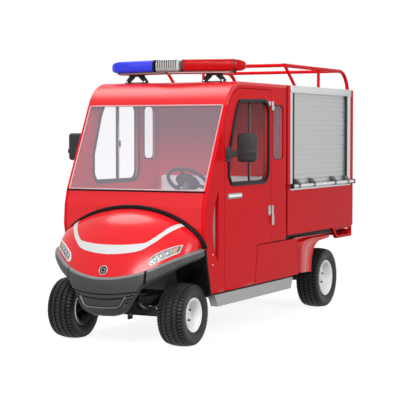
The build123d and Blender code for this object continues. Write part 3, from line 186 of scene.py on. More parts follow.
def on_side(outline, level):
    """Side view outline (Y, Z) at X = level."""
    return np.column_stack([np.full(len(outline), level), outline])


def on_front(outline, level):
    """Front view outline (X, Z) at Y = level."""
    return np.column_stack([outline[:, 0], np.full(len(outline), level), outline[:, 1]])


def rectangle(centre, size):
    """The corners of a rectangle, turning left."""
    a, b = np.asarray(size, float) / 2
    return np.asarray(centre, float) + np.array([[-a, -b], [a, -b], [a, b], [-a, b]])


def bar_section(width, height, radius, count):
    """The section of a bar with rounded edges, as (across, over) pairs."""
    return rounded(rectangle((0, 0), (width, height)), radius, count)


def block(low, high, radius, count=3, index=0):
    """A box with rounded edges, its Y counted from the front axle.

    Each direction of a sphere is moved out to its own corner of the box."""
    low, high = np.array(low, float) + AFT, np.array(high, float) + AFT
    centre, half = (low + high) / 2, (high - low) / 2
    radius = min(radius, *(half - 1e-5))
    lat = np.linspace(-np.pi / 2, np.pi / 2, 2 * count)
    lon = (np.arange(4 * count) + 0.5) * (2 * np.pi / (4 * count))
    a, b = np.meshgrid(lat, lon, indexing="ij")
    ball = np.stack([np.cos(a) * np.cos(b), np.cos(a) * np.sin(b), np.sin(a)], -1)
    points = centre + np.sign(ball) * (half - radius) + ball * radius
    return grid_shell(points, wrap_v=True, cap_u=True, index=index)


def even_line(run, count):
    """The same line with its points evenly spaced along it."""
    run = np.asarray(run, float)
    length = np.concatenate([[0.0], np.cumsum(np.linalg.norm(np.diff(run, axis=0), axis=1))])
    even = np.linspace(0.0, length[-1], count)
    return np.stack([np.interp(even, length, run[:, axis]) for axis in range(run.shape[1])], -1)


def piece(name, shells, body, finishes, replaces="", crease=38.0):
    """One object at the origin made of shells, riding on a body; finishes are named in order of the marks."""
    points, faces, marks, start = [], [], [], 0
    for verts, quads, index in shells:
        points.append(verts)
        faces.extend([[v + start for v in quad] for quad in quads])
        marks.extend(np.broadcast_to(index, len(quads)).tolist())
        start += len(verts)
    mesh = bpy.data.meshes.new(name)
    mesh.from_pydata(np.concatenate(points).tolist(), [], faces)
    for label in finishes.split():
        mesh.materials.append(FINISHES[label])
    mesh.polygons.foreach_set("material_index", marks)
    mesh.polygons.foreach_set("use_smooth", [True] * len(faces))
    clean = bmesh.new()
    clean.from_mesh(mesh)
    bmesh.ops.remove_doubles(clean, verts=clean.verts, dist=1e-6)
    bmesh.ops.recalc_face_normals(clean, faces=clean.faces)
    clean.to_mesh(mesh)
    clean.free()
    mesh.set_sharp_from_angle(angle=math.radians(crease))
    made = bpy.data.objects.new(name, mesh)
    bpy.context.scene.collection.objects.link(made)
    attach(made, body)
    if replaces:
        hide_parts(*replaces.split())
    return made


def each_side(name, shells, body, finishes, replaces="", crease=38.0):
    """A piece for the left side and its reflection for the right; a star in a name stands for the side."""
    made = []
    for side, sign in SIDES:
        own = shells if sign > 0 else mirrored(shells)
        names = [text.replace("*", side) for text in (name, body, replaces)]
        made.append(piece(names[0], own, names[1], finishes, names[2], crease))
    return made


# Finishes

FINISHES = {}
GROUPS = {}


def add(tree, kind, **values):
    """A shader node of a kind, with values for its inputs."""
    made = tree.nodes.new("ShaderNode" + kind)
    for label, value in values.items():
        made.inputs[label.replace("_", " ")].default_value = value
    return made


def math_node(tree, operation, a, b, clamp=False):
    """A math node fed by sockets or numbers."""
    made = add(tree, "Math")
    made.operation = operation
    made.use_clamp = clamp
    for socket, value in zip(made.inputs, (a, b)):
        if isinstance(value, float):
            socket.default_value = value
        else:
            tree.links.new(value, socket)
    return made.outputs[0]


def colour_mix(tree, factor, first, second):
    """A mix of two colours, each a socket or a value, by a factor."""
    made = add(tree, "Mix")
    made.data_type = "RGBA"
    tree.links.new(factor, made.inputs["Factor"])
    for label, value in (("A", first), ("B", second)):
        if isinstance(value, tuple):
            made.inputs[label].default_value = value
        else:
            tree.links.new(value, made.inputs[label])
    return made.outputs["Result"]


def node_group(name, inputs, outputs):
    """A shader node group with float inputs and outputs, and the object's coordinates in it."""
    group = bpy.data.node_groups.new(name, "ShaderNodeTree")
    for label, default in inputs.items():
        socket = group.interface.new_socket(label, in_out="INPUT", socket_type="NodeSocketFloat")
        socket.default_value = default
    for label in outputs:
        group.interface.new_socket(label, in_out="OUTPUT", socket_type="NodeSocketFloat")
    where = add(group, "TexCoord").outputs["Object"]
    return group, group.nodes.new("NodeGroupInput").outputs, group.nodes.new("NodeGroupOutput").inputs, where


def grain_group(name):
    """Fine mottle of a moulded or painted skin: two noises, one for tone and one for height."""
    group, source, sink, where = node_group(name, {"Scale": 40.0, "Fine Scale": 900.0}, ("Tone", "Height"))
    for label, target, detail in (("Scale", "Tone", 4.0), ("Fine Scale", "Height", 2.0)):
        noise = add(group, "TexNoise", Detail=detail)
        group.links.new(where, noise.inputs["Vector"])
        group.links.new(source[label], noise.inputs["Scale"])
        group.links.new(noise.outputs["Fac"], sink[target])
    return group


def dust_group(name):
    """Road dust strongest low on the body, broken up by noise; where Low lies above High, as on the bumper,
    the mask grows towards the top as a painted highlight.
    """
    group, source, sink, where = node_group(name, {"Low": 0.0, "High": 0.9, "Amount": 0.3}, ("Mask",))
    split = add(group, "SeparateXYZ")
    group.links.new(where, split.inputs[0])
    noise = add(group, "TexNoise", Scale=9.0, Detail=6.0)
    group.links.new(where, noise.inputs["Vector"])
    fall = add(group, "MapRange")
    group.links.new(split.outputs["Z"], fall.inputs["Value"])
    group.links.new(source["High"], fall.inputs["From Min"])
    group.links.new(source["Low"], fall.inputs["From Max"])
    broken = math_node(group, "MULTIPLY", fall.outputs[0], noise.outputs["Fac"])
    group.links.new(math_node(group, "MULTIPLY", broken, source["Amount"], clamp=True), sink["Mask"])
    return group


def brush_group(name):
    """Brushed metal: noise stretched along Y."""
    group, source, sink, where = node_group(name, {"Along": 3.0, "Across": 420.0}, ("Lines",))
    scale = add(group, "CombineXYZ")
    for axis, label in (("X", "Across"), ("Y", "Along"), ("Z", "Across")):
        group.links.new(source[label], scale.inputs[axis])
    stretch = add(group, "VectorMath")
    stretch.operation = "MULTIPLY"
    group.links.new(where, stretch.inputs[0])
    group.links.new(scale.outputs[0], stretch.inputs[1])
    noise = add(group, "TexNoise", Scale=1.0, Detail=3.0)
    group.links.new(stretch.outputs[0], noise.inputs["Vector"])
    group.links.new(noise.outputs["Fac"], sink["Lines"])
    return group


def group_node(tree, name, **values):
    """A placed copy of a shared group with its own values."""
    makers = {"fine_grain": grain_group, "road_dust": dust_group, "brushed_lines": brush_group}
    if name not in GROUPS:
        GROUPS[name] = makers[name](name)
    made = add(tree, "Group")
    made.node_tree = GROUPS[name]
    for label, value in values.items():
        made.inputs[label.replace("_", " ")].default_value = value
    return made


def finish_material(
    name, colour, roughness, metallic=0.0, coat=0.0, specular=0.5, mottle=0.08, scale=30.0, bump=0.0,
    fine=700.0, dust=0.0, dust_low=0.0, dust_high=0.9, dust_tint=(0.36, 0.33, 0.29), brushed=False,
    alpha=1.0, emission=0.0,
):
    """A procedural finish as asked: mottled colour, uneven gloss, fine bump, brushing, road dust, a painted
    lighter top and a painted glow.
    """
    material = bpy.data.materials.new(name)
    material.use_nodes = True
    tree = material.node_tree
    shader = tree.nodes["Principled BSDF"].inputs
    shader["Metallic"].default_value = metallic
    shader["Coat Weight"].default_value = coat
    shader["Coat Roughness"].default_value = 0.06
    shader["IOR"].default_value = 1.45
    shader["Specular IOR Level"].default_value = specular
    shader["Alpha"].default_value = alpha
    grain = group_node(tree, "fine_grain", Scale=scale, Fine_Scale=fine)
    tone = group_node(tree, "brushed_lines").outputs["Lines"] if brushed else grain.outputs["Tone"]
    base = np.asarray(colour, float)
    dark, light = (np.clip(base * (1 + shift), 0, 1) for shift in (-mottle, mottle))
    shade = colour_mix(tree, tone, (*dark, 1), (*light, 1))
    spread = (0.3 if brushed else 0.15) * roughness
    gloss = add(tree, "MapRange", To_Min=roughness - spread, To_Max=roughness + spread)
    tree.links.new(tone, gloss.inputs["Value"])
    rough = gloss.outputs[0]
    # Mixed in by the mask: road dust low on the body; on the bumper the mask rises upwards instead, a painted
    # highlight.
    if dust:
        dust_and_sheen_amount = group_node(tree, "road_dust", Low=dust_low, High=dust_high, Amount=dust).outputs["Mask"]
        shade = colour_mix(tree, dust_and_sheen_amount, shade, (*dust_tint, 1))
        rough = math_node(tree, "ADD", rough, math_node(tree, "MULTIPLY", dust_and_sheen_amount, 0.5), clamp=True)
    tree.links.new(shade, shader["Base Color"])
    tree.links.new(rough, shader["Roughness"])
    if bump:
        relief = add(tree, "Bump", Strength=1.0, Distance=bump)
        tree.links.new(grain.outputs["Height"], relief.inputs["Height"])
        tree.links.new(relief.outputs["Normal"], shader["Normal"])
    if emission:
        shader["Emission Color"].default_value = (*base, 1)
        shader["Emission Strength"].default_value = emission
    return material


class TruckPaint(bpy.types.PropertyGroup):
    """Colours of the truck, scene linear."""

    body: FloatVectorProperty(
        name="Body red", description="Gloss paint of cab and box", subtype="COLOR", size=3,
        min=0.0, max=1.0, default=(0.67, 0.008, 0.014),
    )
    bumper: FloatVectorProperty(
        name="Bumper grey", description="Moulded front bumper", subtype="COLOR", size=3,
        min=0.0, max=1.0, default=(0.026, 0.026, 0.028),
    )
    rim: FloatVectorProperty(
        name="Rim white", description="Painted steel wheels", subtype="COLOR", size=3,
        min=0.0, max=1.0, default=(0.88, 0.88, 0.88),
    )
    shutter: FloatVectorProperty(
        name="Shutter grey", description="Aluminium slats and frames", subtype="COLOR", size=3,
        min=0.0, max=1.0, default=(0.5, 0.51, 0.52),
    )
    bench: FloatVectorProperty(
        name="Bench vinyl", description="Seat cushion covers", subtype="COLOR", size=3,
        min=0.0, max=1.0, default=(0.74, 0.77, 0.80),
    )


class TruckSizes(bpy.types.PropertyGroup):
    """Sizes of the surfaces that a user would change."""

    tread_depth: FloatProperty(
        name="Tread depth", description="Depth of the tyre grooves", unit="LENGTH", min=0.0, default=0.0085,
    )
    tread_blocks: IntProperty(
        name="Shoulder blocks", description="Blocks round each tyre shoulder", min=8, default=52,
    )
    seal_width: FloatProperty(
        name="Window seal", description="Width of the rubber round a door window", unit="LENGTH",
        min=0.0, default=0.028,
    )
    slats: IntProperty(name="Shutter slats", description="Slats of one curtain", min=4, default=19)


class TruckStage(bpy.types.PropertyGroup):
    """Camera and lights."""

    lens: FloatProperty(
        name="Lens", description="Focal length of the camera in millimetres", min=10.0, default=124.402,
    )
    turn: FloatProperty(name="Turn", description="Camera turn about Z in degrees", default=26.8662)
    dip: FloatProperty(name="Dip", description="Camera angle below the horizon in degrees", default=2.7575)
    key: FloatProperty(
        name="Key light", description="Power of the main soft light in watts", min=0.0, default=355.0,
    )
    ambient: FloatProperty(
        name="Ambient", description="Light of the white surround on the truck", min=0.0, default=0.45,
    )
    floor_glow: FloatProperty(
        name="Floor white", description="Own light of the floor as the camera sees it", min=0.0, default=0.88,
    )


# What finishes of one kind share
RED_SKIN = dict(mottle=0.05, scale=3.0, bump=0.00002)
MOULDED = dict(mottle=0.12, bump=0.00012, fine=900.0)
SMOOTH_BLACK = dict(mottle=0.1, fine=600.0)
CLEAR_LENS = dict(mottle=0.12, scale=60.0)
BARE = dict(mottle=0.01)

# The finish of each CAD node
NODE_FINISHES = {
    "red": "cab_sides cab_back_wall box_floor box_sides box_roof box_ends roof_rack side_pods rear_bumper "
    "door_left_panel door_right_panel",
    "moulded_red": "hood rear_fenders",
    "front_red": "cab_front_panel cab_roof",
    "chassis": "chassis_frame frame_members",
    "iron": "front_axle rear_axle knuckle_left knuckle_right",
    "steel": "springs tie_rod",
    "battery": "battery_pack",
    "floor": "cab_floor",
    "glass": "cab_glass",
    "side_glass": "door_left_glass door_right_glass",
    "bumper": "front_bumper",
    "lamp": "headlamps",
    "dash": "dashboard",
    "bench": "seat_cushions",
    "frame_metal": "shutter_frames shutter_left_bar shutter_right_bar lightbar_base",
    "shutter": "shutter_left_curtain shutter_right_curtain",
    "lens_blue": "lightbar_lens_blue",
    "lens_red": "lightbar_lens_red",
    "speaker": "lightbar_speaker",
    "sill": "side_sills",
    "tail": "tail_lamps",
    "hinge": "door_hinges",
    "chrome": "door_left_fittings door_right_fittings",
    "mirror_black": "door_left_mirror door_right_mirror",
    "black": "steering_wheel",
    "tyre": "wheel_front_left_tyre wheel_front_right_tyre wheel_rear_left_tyre wheel_rear_right_tyre",
    "rim": "wheel_front_left_rim wheel_front_right_rim wheel_rear_left_rim wheel_rear_right_rim",
}


class FIRETRUCK_OT_finishes(bpy.types.Operator):
    """Makes every finish and lays it on the CAD nodes"""

    bl_idname = "firetruck.finishes"
    bl_label = "Finishes"

    def execute(self, context):
        paint = context.scene.truck_paint
        make = finish_material
        FINISHES.update(
            red=make("red_gloss_paint", paint.body, 0.2, specular=0.03, fine=260.0, dust=0.04, **RED_SKIN),
            moulded_red=make(
                "moulded_red", paint.body, 0.22, specular=0.35, coat=0.1, fine=200.0, **RED_SKIN,
            ),
            front_red=make("front_red_paint", paint.body, 0.32, fine=260.0, **RED_SKIN),
            stripe=make("white_stripe", (0.61, 0.62, 0.615), 0.3, specular=0.3, mottle=0.03),
            # The bumper's mask grows towards the top and lightens the grey there: a painted highlight from
            # the light above, not dust.
            bumper=make(
                "bumper_plastic", paint.bumper, 0.42, specular=0.35, dust=0.6, dust_low=0.68, dust_high=0.30,
                dust_tint=(0.2, 0.2, 0.205), **MOULDED,
            ),
            # A lighter grey for the bumper's top lip and the crest of its raised mouth: a painted highlight.
            bumper_edge=make("bumper_edge", (0.17, 0.17, 0.173), 0.4, specular=0.4, **MOULDED),
            black=make(
                "black_plastic", (0.014, 0.014, 0.015), 0.35, specular=0.22, bump=0.00005, **SMOOTH_BLACK,
            ),
            mirror_black=make(
                "mirror_black", (0.026, 0.026, 0.027), 0.4, specular=0.3, bump=0.00008, **SMOOTH_BLACK,
            ),
            seal=make(
                "seal_rubber", (0.007, 0.007, 0.008), 0.35, specular=0.1, mottle=0.15, bump=0.00004,
                fine=500.0,
            ),
            # Darker rubber deep in the tread grooves: painted shade.
            groove=make(
                "tyre_groove", (0.003, 0.003, 0.003), 0.8, specular=0.05, mottle=0.3, bump=0.0002, fine=420.0,
            ),
            tyre=make(
                "tyre_rubber", (0.013, 0.013, 0.014), 0.45, specular=0.25, mottle=0.3, scale=14.0,
                bump=0.00025, fine=420.0, dust=0.08, dust_high=0.5,
            ),
            rim=make("white_rim", paint.rim, 0.35, mottle=0.04, scale=12.0, dust=0.04, dust_high=0.5),
            shutter=make("shutter_aluminium", paint.shutter, 0.42, metallic=0.55, mottle=0.06, brushed=True),
            frame_metal=make(
                "shutter_frame", (0.66, 0.67, 0.68), 0.36, metallic=0.6, mottle=0.05, brushed=True,
            ),
            sill=make(
                "sill_aluminium", (0.33, 0.34, 0.335), 0.42, metallic=0.8, mottle=0.5, brushed=True,
                dust=0.15, dust_high=0.5,
            ),
            chrome=make("bright_metal", (0.8, 0.8, 0.82), 0.14, metallic=1.0, mottle=0.03),
            steel=make("rod_steel", (0.05, 0.05, 0.052), 0.45, metallic=0.6, mottle=0.15, dust=0.08),
            iron=make(
                "axle_iron", (0.014, 0.014, 0.015), 0.6, specular=0.25, mottle=0.3, bump=0.0002, fine=260.0,
                dust=0.06,
            ),
            chassis=make(
                "frame_black", (0.010, 0.010, 0.011), 0.5, specular=0.25, mottle=0.2, bump=0.0001, fine=300.0,
                dust=0.05,
            ),
            # Window glass is a thin pale film over the view into the cab: the film is a painted reflection, a
            # veil of light on the glass.
            glass=make("clear_glass", (0.80, 0.76, 0.88), 0.03, alpha=0.115, **BARE),
            side_glass=make("side_glass", (0.62, 0.52, 0.55), 0.03, specular=0.12, alpha=0.05, **BARE),
            clear=make("lamp_lens", (0.85, 0.88, 0.92), 0.03, alpha=0.10, **BARE),
            mirror_glass=make("mirror_glass", (0.75, 0.77, 0.79), 0.04, metallic=1.0, **BARE),
            bench=make("bench_vinyl", paint.bench, 0.5, mottle=0.06, scale=18.0, bump=0.0002, fine=520.0),
            dash=make("dash_plastic", (0.1, 0.1, 0.105), 0.55, mottle=0.1, bump=0.00012, fine=800.0),
            floor=make("floor_mat", (0.06, 0.06, 0.062), 0.7, mottle=0.2, bump=0.0003, fine=350.0),
            # The light bar lenses glow a little in their own colour: painted light for light passing through
            # the coloured plastic.
            lens_red=make(
                "red_lens", (0.50, 0.003, 0.005), 0.10, specular=0.08, emission=0.06, alpha=0.92,
                **CLEAR_LENS,
            ),
            lens_blue=make(
                "blue_lens", (0.035, 0.05, 0.78), 0.10, specular=0.15, emission=0.20, alpha=0.84,
                **CLEAR_LENS,
            ),
            lens_inner=make("blue_inner", (0.01, 0.05, 0.5), 0.2, mottle=0.3, scale=80.0),
            speaker=make("speaker_white", (0.46, 0.45, 0.44), 0.3, mottle=0.05),
            hinge=make("hinge_grey", (0.42, 0.42, 0.43), 0.4, metallic=0.6, mottle=0.2, scale=60.0),
            hook=make("hook_grey", (0.07, 0.07, 0.072), 0.4, mottle=0.25, scale=60.0),
            lamp=make(
                "lamp_clear", (0.55, 0.57, 0.6), 0.2, metallic=0.3, specular=0.3, mottle=0.1, scale=90.0,
            ),
            reflector=make("lamp_reflector", (0.26, 0.27, 0.28), 0.35, metallic=0.4, mottle=0.3, scale=160.0),
            # A pale pink line round the windscreen: a painted highlight on the glass edge.
            screen_edge=make("screen_edge", (0.62, 0.40, 0.42), 0.4, specular=0.2, mottle=0.05),
            tray=make("tray_metal", (0.30, 0.17, 0.17), 0.3, metallic=0.5, mottle=0.2, brushed=True),
            bar_white=make("bar_white", (0.72, 0.73, 0.74), 0.3, metallic=0.3, mottle=0.04),
            bezel=make("lamp_bezel", (0.78, 0.78, 0.78), 0.25, mottle=0.03),
            amber=make("lamp_amber", (0.55, 0.22, 0.03), 0.25, specular=0.3, mottle=0.1, scale=90.0),
            tail=make("tail_red", (0.5, 0.01, 0.012), 0.15, coat=0.6, mottle=0.15, scale=80.0),
            battery=make("battery_case", (0.04, 0.04, 0.045), 0.6, mottle=0.1),
            liner=make("liner_grey", (0.32, 0.32, 0.32), 0.6, mottle=0.25, scale=25.0),
        )
        for label, names in NODE_FINISHES.items():
            for name in names.split():
                slots = nodes[name].data.materials
                slots.clear()
                slots.append(FINISHES[label])
        return {"FINISHED"}


# Wheels

WHEELS = (
    # end, axle y, half track, tyre radius, tyre width, flange radius, barrel radius
    ("front", FRONT_AXLE, 0.462, 0.229, 0.212, 0.126, 0.106),
    ("rear", REAR_AXLE, 0.459, 0.260, 0.206, 0.155, 0.134),
)
# Shares of the tyre's width, from its middle
TREAD_EDGE = 0.43
BEAD = 0.39
GROOVES = (-0.30, -0.11, 0.11, 0.30)
CROWN = 0.012
POINTS_PER_BLOCK = 10
RIM_POINTS = 120
NUT_CIRCLE = 0.051
NUT = ((0.0, 0.0005), (0.0, 0.0095), (0.012, 0.0095), (0.015, 0.006), (0.015, 0.0005))
VALVE_ANGLE = 2.2


def tyre_profile(radius, width, flange, barrel):
    """Half-round section of a tyre: bead, bulging wall, shoulder and crowned tread as (axial, radius)."""
    t = np.linspace(-1.0, 1.0, 64)
    tread = np.stack([TREAD_EDGE * width * t, radius - CROWN * np.abs(t) ** 2.4], -1)
    low, high = flange + 0.003, radius - CROWN
    s = np.linspace(0.0, 1.0, 14)[1:]
    wall_r = high + (low - high) * s
    bulge = np.sin(np.pi * np.clip((s + 0.1) / 1.1, 0, 1)) ** 0.8
    wall_x = (TREAD_EDGE + (BEAD - TREAD_EDGE) * s) * width + 0.062 * width * bulge
    wall = np.concatenate([np.stack([wall_x, wall_r], -1), [[0.385 * width, barrel + 0.0006]]])
    return np.concatenate([wall[::-1] * np.array([-1.0, 1.0]), tread, wall])


def tyre_shell(centre, radius, width, flange, barrel, depth, blocks, sign):
    """A tyre with blocks: zigzag grooves round it and staggered cuts across lower the radius by depth."""
    profile = tyre_profile(radius, width, flange, barrel)
    count = blocks * POINTS_PER_BLOCK
    turn = turns(count)[:, None]
    x = np.broadcast_to(profile[:, 0], (count, len(profile)))
    r = np.broadcast_to(profile[:, 1], (count, len(profile))).copy()
    share = x / width
    around = blocks * turn / (2 * np.pi)
    wave = 0.022 * (np.abs(2 * (around % 1.0) - 1) - 0.5)
    ribs, number = np.zeros_like(r), np.zeros_like(r)
    for place in GROOVES:
        apart = share - place - wave * np.sign(place)
        ribs = np.maximum(ribs, 1 - smooth_step(0.010, 0.022, np.abs(apart)))
        number = number + (apart > 0)
    phase = around + 0.5 * (number % 2) + 1.2 * np.abs(share)
    cuts = 1 - smooth_step(0.05, 0.14, np.abs((phase % 1.0) - 0.5))
    on_tread = smooth_step(radius - 0.020, radius - 0.014, r)
    on_shoulder = smooth_step(radius - 0.040, radius - 0.026, r)
    outer_rib = (number == 0) | (number == len(GROOVES))
    groove = np.maximum(ribs * on_tread, cuts * np.where(outer_rib, 0.9 * on_shoulder, 0.6 * on_tread))
    r = r - depth * groove
    points = np.stack([centre[0] + sign * x, centre[1] + np.cos(turn) * r, centre[2] + np.sin(turn) * r], -1)
    # Faces deep in the grooves take the darker groove finish: painted shade.
    return grid_shell(points, wrap_u=True, wrap_v=True, index=(groove > 0.7).astype(int).ravel())


class FIRETRUCK_OT_tyres(bpy.types.Operator):
    """Makes the four tyres with ribs and shoulder blocks"""

    bl_idname = "firetruck.tyres"
    bl_label = "Tyres"

    def execute(self, context):
        sizes = context.scene.truck_sizes
        for end, axle, track, radius, width, flange, barrel in WHEELS:
            for side, sign in SIDES:
                shell = tyre_shell(
                    (sign * track, axle, radius), radius, width, flange, barrel,
                    sizes.tread_depth, sizes.tread_blocks, sign,
                )
                body = f"wheel_{end}_{side}"
                piece(f"{end}_{side}_tyre", [shell], body, "tyre groove", f"{body}_tyre", 30.0)
        return {"FINISHED"}


def rim_profile(width, flange, barrel):
    """Closed section of a deep dish rim as (axial, radius) with its marks: lips, barrel, disc and hub."""
    lip = BEAD * width
    turn = np.linspace(np.pi / 2, -np.pi / 2, 7)
    outer_lip = np.stack([lip + 0.0048 + 0.0045 * np.cos(turn), flange - 0.0045 + 0.0045 * np.sin(turn)], -1)
    outer = [
        [lip + 0.0003, flange - 0.001], *outer_lip, [lip + 0.004, barrel + 0.002],
        [lip - 0.006, barrel - 0.007],
        [0.034, barrel - 0.010], [0.020, barrel - 0.018], [0.014, 0.078], [0.016, 0.068], [0.028, 0.058],
        [0.029, 0.040], [0.032, 0.036], [0.042, 0.034], [0.046, 0.028], [0.047, 0.004],
    ]
    inner = [
        [-0.038, 0.004], [-0.038, 0.034], [0.004, 0.036], [0.006, 0.070], [0.004, barrel - 0.020],
        [-0.006, barrel - 0.008], [-lip - 0.004, barrel - 0.006],
    ]
    back = [
        [-lip - 0.009, flange - 0.003], [-lip - 0.004, flange], [-lip - 0.0003, flange - 0.001],
        [-lip - 0.0003, barrel], [lip + 0.0003, barrel],
    ]
    # The inner side takes mark 3, the dark iron finish: it stands for the brake drum behind the disc and is
    # painted shade inside the barrel.
    return np.array(outer + inner + back), np.repeat([0, 3, 0], [len(outer), len(inner), len(back)])


class FIRETRUCK_OT_rims(bpy.types.Operator):
    """Makes the four steel rims with nuts and a valve"""

    bl_idname = "firetruck.rims"
    bl_label = "Rims"

    def execute(self, context):
        for end, axle, track, radius, width, flange, barrel in WHEELS:
            section, marks = rim_profile(width, flange, barrel)
            shells = [revolved(section, (track, axle, radius), RIM_POINTS, np.tile(marks, RIM_POINTS))]
            for turn in turns(4) + 0.6:
                hub = (track + 0.028, axle + NUT_CIRCLE * np.cos(turn), radius + NUT_CIRCLE * np.sin(turn))
                shells.append(revolved(NUT, hub, 6, 1))
            outwards = np.array([0.0, np.cos(VALVE_ANGLE), np.sin(VALVE_ANGLE)])
            foot = np.array([track + 0.03, axle, radius]) + (barrel - 0.02) * outwards
            stem = foot + (np.array([0.035, 0.0, 0.0]) - 0.012 * outwards) * np.linspace(0, 1, 5)[:, None]
            shells.append(swept(stem, circle(0.004, 10), (0, 1, 0.3), 2))
            body = f"wheel_{end}_*"
            each_side(f"{end}_*_rim", shells, body, "rim steel black iron", f"{body}_rim")
        return {"FINISHED"}


# Nose

NOSE_FRONT = -0.380
NOSE_RADIUS = 0.700
NOSE_CORNER = 0.250
NOSE_HALF = 0.590
NOSE_END = 0.112
NOSE_POINTS = 400
# Share of the way from the middle of the nose to its end, and the bumper's upper and lower line there
TOP_SHARE = (0.0, 0.08, 0.17, 0.26, 0.35, 0.435, 0.52, 0.61, 0.70, 0.80, 1.0)
TOP_Z = (0.509, 0.511, 0.520, 0.535, 0.554, 0.580, 0.611, 0.640, 0.665, 0.687, 0.706)
LOW_SHARE = (0.0, 0.10, 0.17, 0.215, 0.245, 0.275, 0.30, 0.33, 0.36, 0.40, 0.43, 0.512, 0.695, 0.80, 1.0)
LOW_Z = (
    0.228, 0.231, 0.243, 0.262, 0.288, 0.325, 0.362, 0.400, 0.437, 0.462, 0.474, 0.505, 0.582, 0.609, 0.630,
)
ARCH_HALF = 0.587
ARCH_FOOT = 0.694
ARCH_RISE = 0.284
HOOD_INSET = 0.022
HOOD_END = 0.100
# Heights on the cab's front panel and how far behind the front axle it lies there
PANEL_Z = (0.385, 0.570, 0.853, 0.997, 1.112)
PANEL_Y = (0.179, 0.127, 0.075, 0.086, 0.117)


def eased(at, places, values, reach=0.03):
    """A line through a few places, rounded at its corners by averaging over a short reach."""
    shifts = np.linspace(-reach, reach, 9)
    return np.mean([np.interp(np.abs(at + shift), places, values) for shift in shifts], axis=0)


def nose_plan(move_in, end):
    """Plan of the nose from the middle to one side: a wide arc, a tangent corner arc, a straight end."""
    corner_x = NOSE_HALF - NOSE_CORNER
    centre_y = NOSE_FRONT + NOSE_RADIUS
    corner_y = centre_y - math.sqrt((NOSE_RADIUS - NOSE_CORNER) ** 2 - corner_x**2)
    join = math.atan2(corner_y - centre_y, corner_x)
    front = np.linspace(-np.pi / 2, join, 120)
    bend = np.linspace(join, 0.0, 80)[1:]
    wide, tight = NOSE_RADIUS - move_in, NOSE_CORNER - move_in
    return even_line(np.concatenate([
        np.stack([wide * np.cos(front), centre_y + wide * np.sin(front)], -1),
        np.stack([corner_x + tight * np.cos(bend), corner_y + tight * np.sin(bend)], -1),
        np.array([[NOSE_HALF - move_in, end]]),
    ]), NOSE_POINTS)


def arch_line(count):
    """The arch where the hood meets the cab, from its crown to one side, as (X, Z)."""
    share = np.linspace(0.0, 1.0, 400)
    return even_line(np.stack([ARCH_HALF * share, ARCH_FOOT + ARCH_RISE * (1 - share**2) ** 0.62], -1), count)


def panel_y(z):
    """Y of the cab's front panel behind the front axle, at a height."""
    return np.interp(z, PANEL_Z, PANEL_Y)


def hood_point(side, rise):
    """The hood at side -1 to 1 (round the nose) and rise 0 to 1 (bumper to cab).

    X and Y run from the bumper's inner line to the arch with the rise; Z follows 1 - (1 - rise)^2.2 to the
    power 0.9, which is steep at the nose and flat at the cab."""
    index = np.arange(NOSE_POINTS)
    at = np.abs(side) * (NOSE_POINTS - 1)
    edge, arch = nose_plan(HOOD_INSET, HOOD_END), arch_line(NOSE_POINTS)
    edge_x, edge_y = (np.interp(at, index, line) for line in edge.T)
    arch_x, arch_z = (np.interp(at, index, line) for line in arch.T)
    edge_z = eased(side, TOP_SHARE, TOP_Z) - 0.006
    arch_y = panel_y(arch_z) - 0.001
    climb = (1 - (1 - rise) ** 2.2) ** 0.9
    x = (edge_x + (arch_x - edge_x) * rise**1.5) * np.sign(side + 1e-12)
    y = edge_y + (arch_y - edge_y) * rise
    z = edge_z + (arch_z - edge_z) * climb
    return np.stack([x, aft(y), z], -1)


def hood_normal(side, rise):
    """Outward unit normal of the hood, from differences along both parameters."""
    step = 2e-3
    east, west = np.clip(side + step, -1, 1), np.clip(side - step, -1, 1)
    up, down = np.clip(rise + step, 0.003, 1), np.clip(rise - step, 0.003, 1)
    along = hood_point(east, rise) - hood_point(west, rise)
    return unit(np.cross(along, hood_point(side, up) - hood_point(side, down)))


def hood_spot(side, rise):
    """One place on the hood and its normal."""
    return hood_point(side, rise)[0], hood_normal(side, rise)[0]


def hood_sheet(side, rise, low, high, index=0):
    """A sheet laid on the hood between two heights above it."""
    base, normal = hood_point(side, rise), hood_normal(side, rise)
    low, high = np.asarray(low, float)[..., None], np.asarray(high, float)[..., None]
    loop = np.concatenate([base + normal * high, (base + normal * low)[:, ::-1]], axis=1)
    return grid_shell(loop, wrap_v=True, cap_u=True, index=index)


LAMP_SIDE = 0.557
LAMP_RISE = 0.088
LAMP_REACH = (0.145, 0.034)
LAMP_HALF_RISE = 0.057
LAMP_SPREAD = 0.016
LAMP_LONG = 0.128
LAMP_HIGH = 0.037
LAMP_END = 0.012
LAMP_POINTS = 70
LAMP_INSERT = 0.0118
BULBS = (-0.082, -0.034, 0.014)
BULB = ((0.0003, 0.0052), (0.008, 0.0048), (0.0125, 0.0026), (0.0125, 0.001), (0.0003, 0.001))
BULB_RIM = ((0.0128, 0.0012), (0.0130, 0.0048), (0.0158, 0.0052), (0.0178, 0.0012))


def lamp_patch(along, across):
    """Places on the hood of a lamp, from metres along and across its slot."""
    u, v = along / LAMP_LONG, across / LAMP_HIGH
    side = LAMP_SIDE + LAMP_REACH[0] * u + 0.010 * v * np.clip(u, 0, 1)
    rise = LAMP_RISE + LAMP_REACH[1] * u + (LAMP_HALF_RISE + LAMP_SPREAD * u) * v
    return side, np.maximum(rise, 0.004)


def lamp_half(along, shrink):
    """Half height of the slot at a place along it: a half round inner end and a tight outer corner."""
    high, long = LAMP_HIGH - shrink, LAMP_LONG - shrink
    inner = np.clip(high - long - along, 0.0, high)
    outer = np.clip(along - long + LAMP_END, 0.0, LAMP_END)
    left = np.sqrt(np.maximum(high**2 - inner**2, 0.0))
    right = high - LAMP_END + np.sqrt(np.maximum(LAMP_END**2 - outer**2, 0.0))
    return np.minimum(left, right)


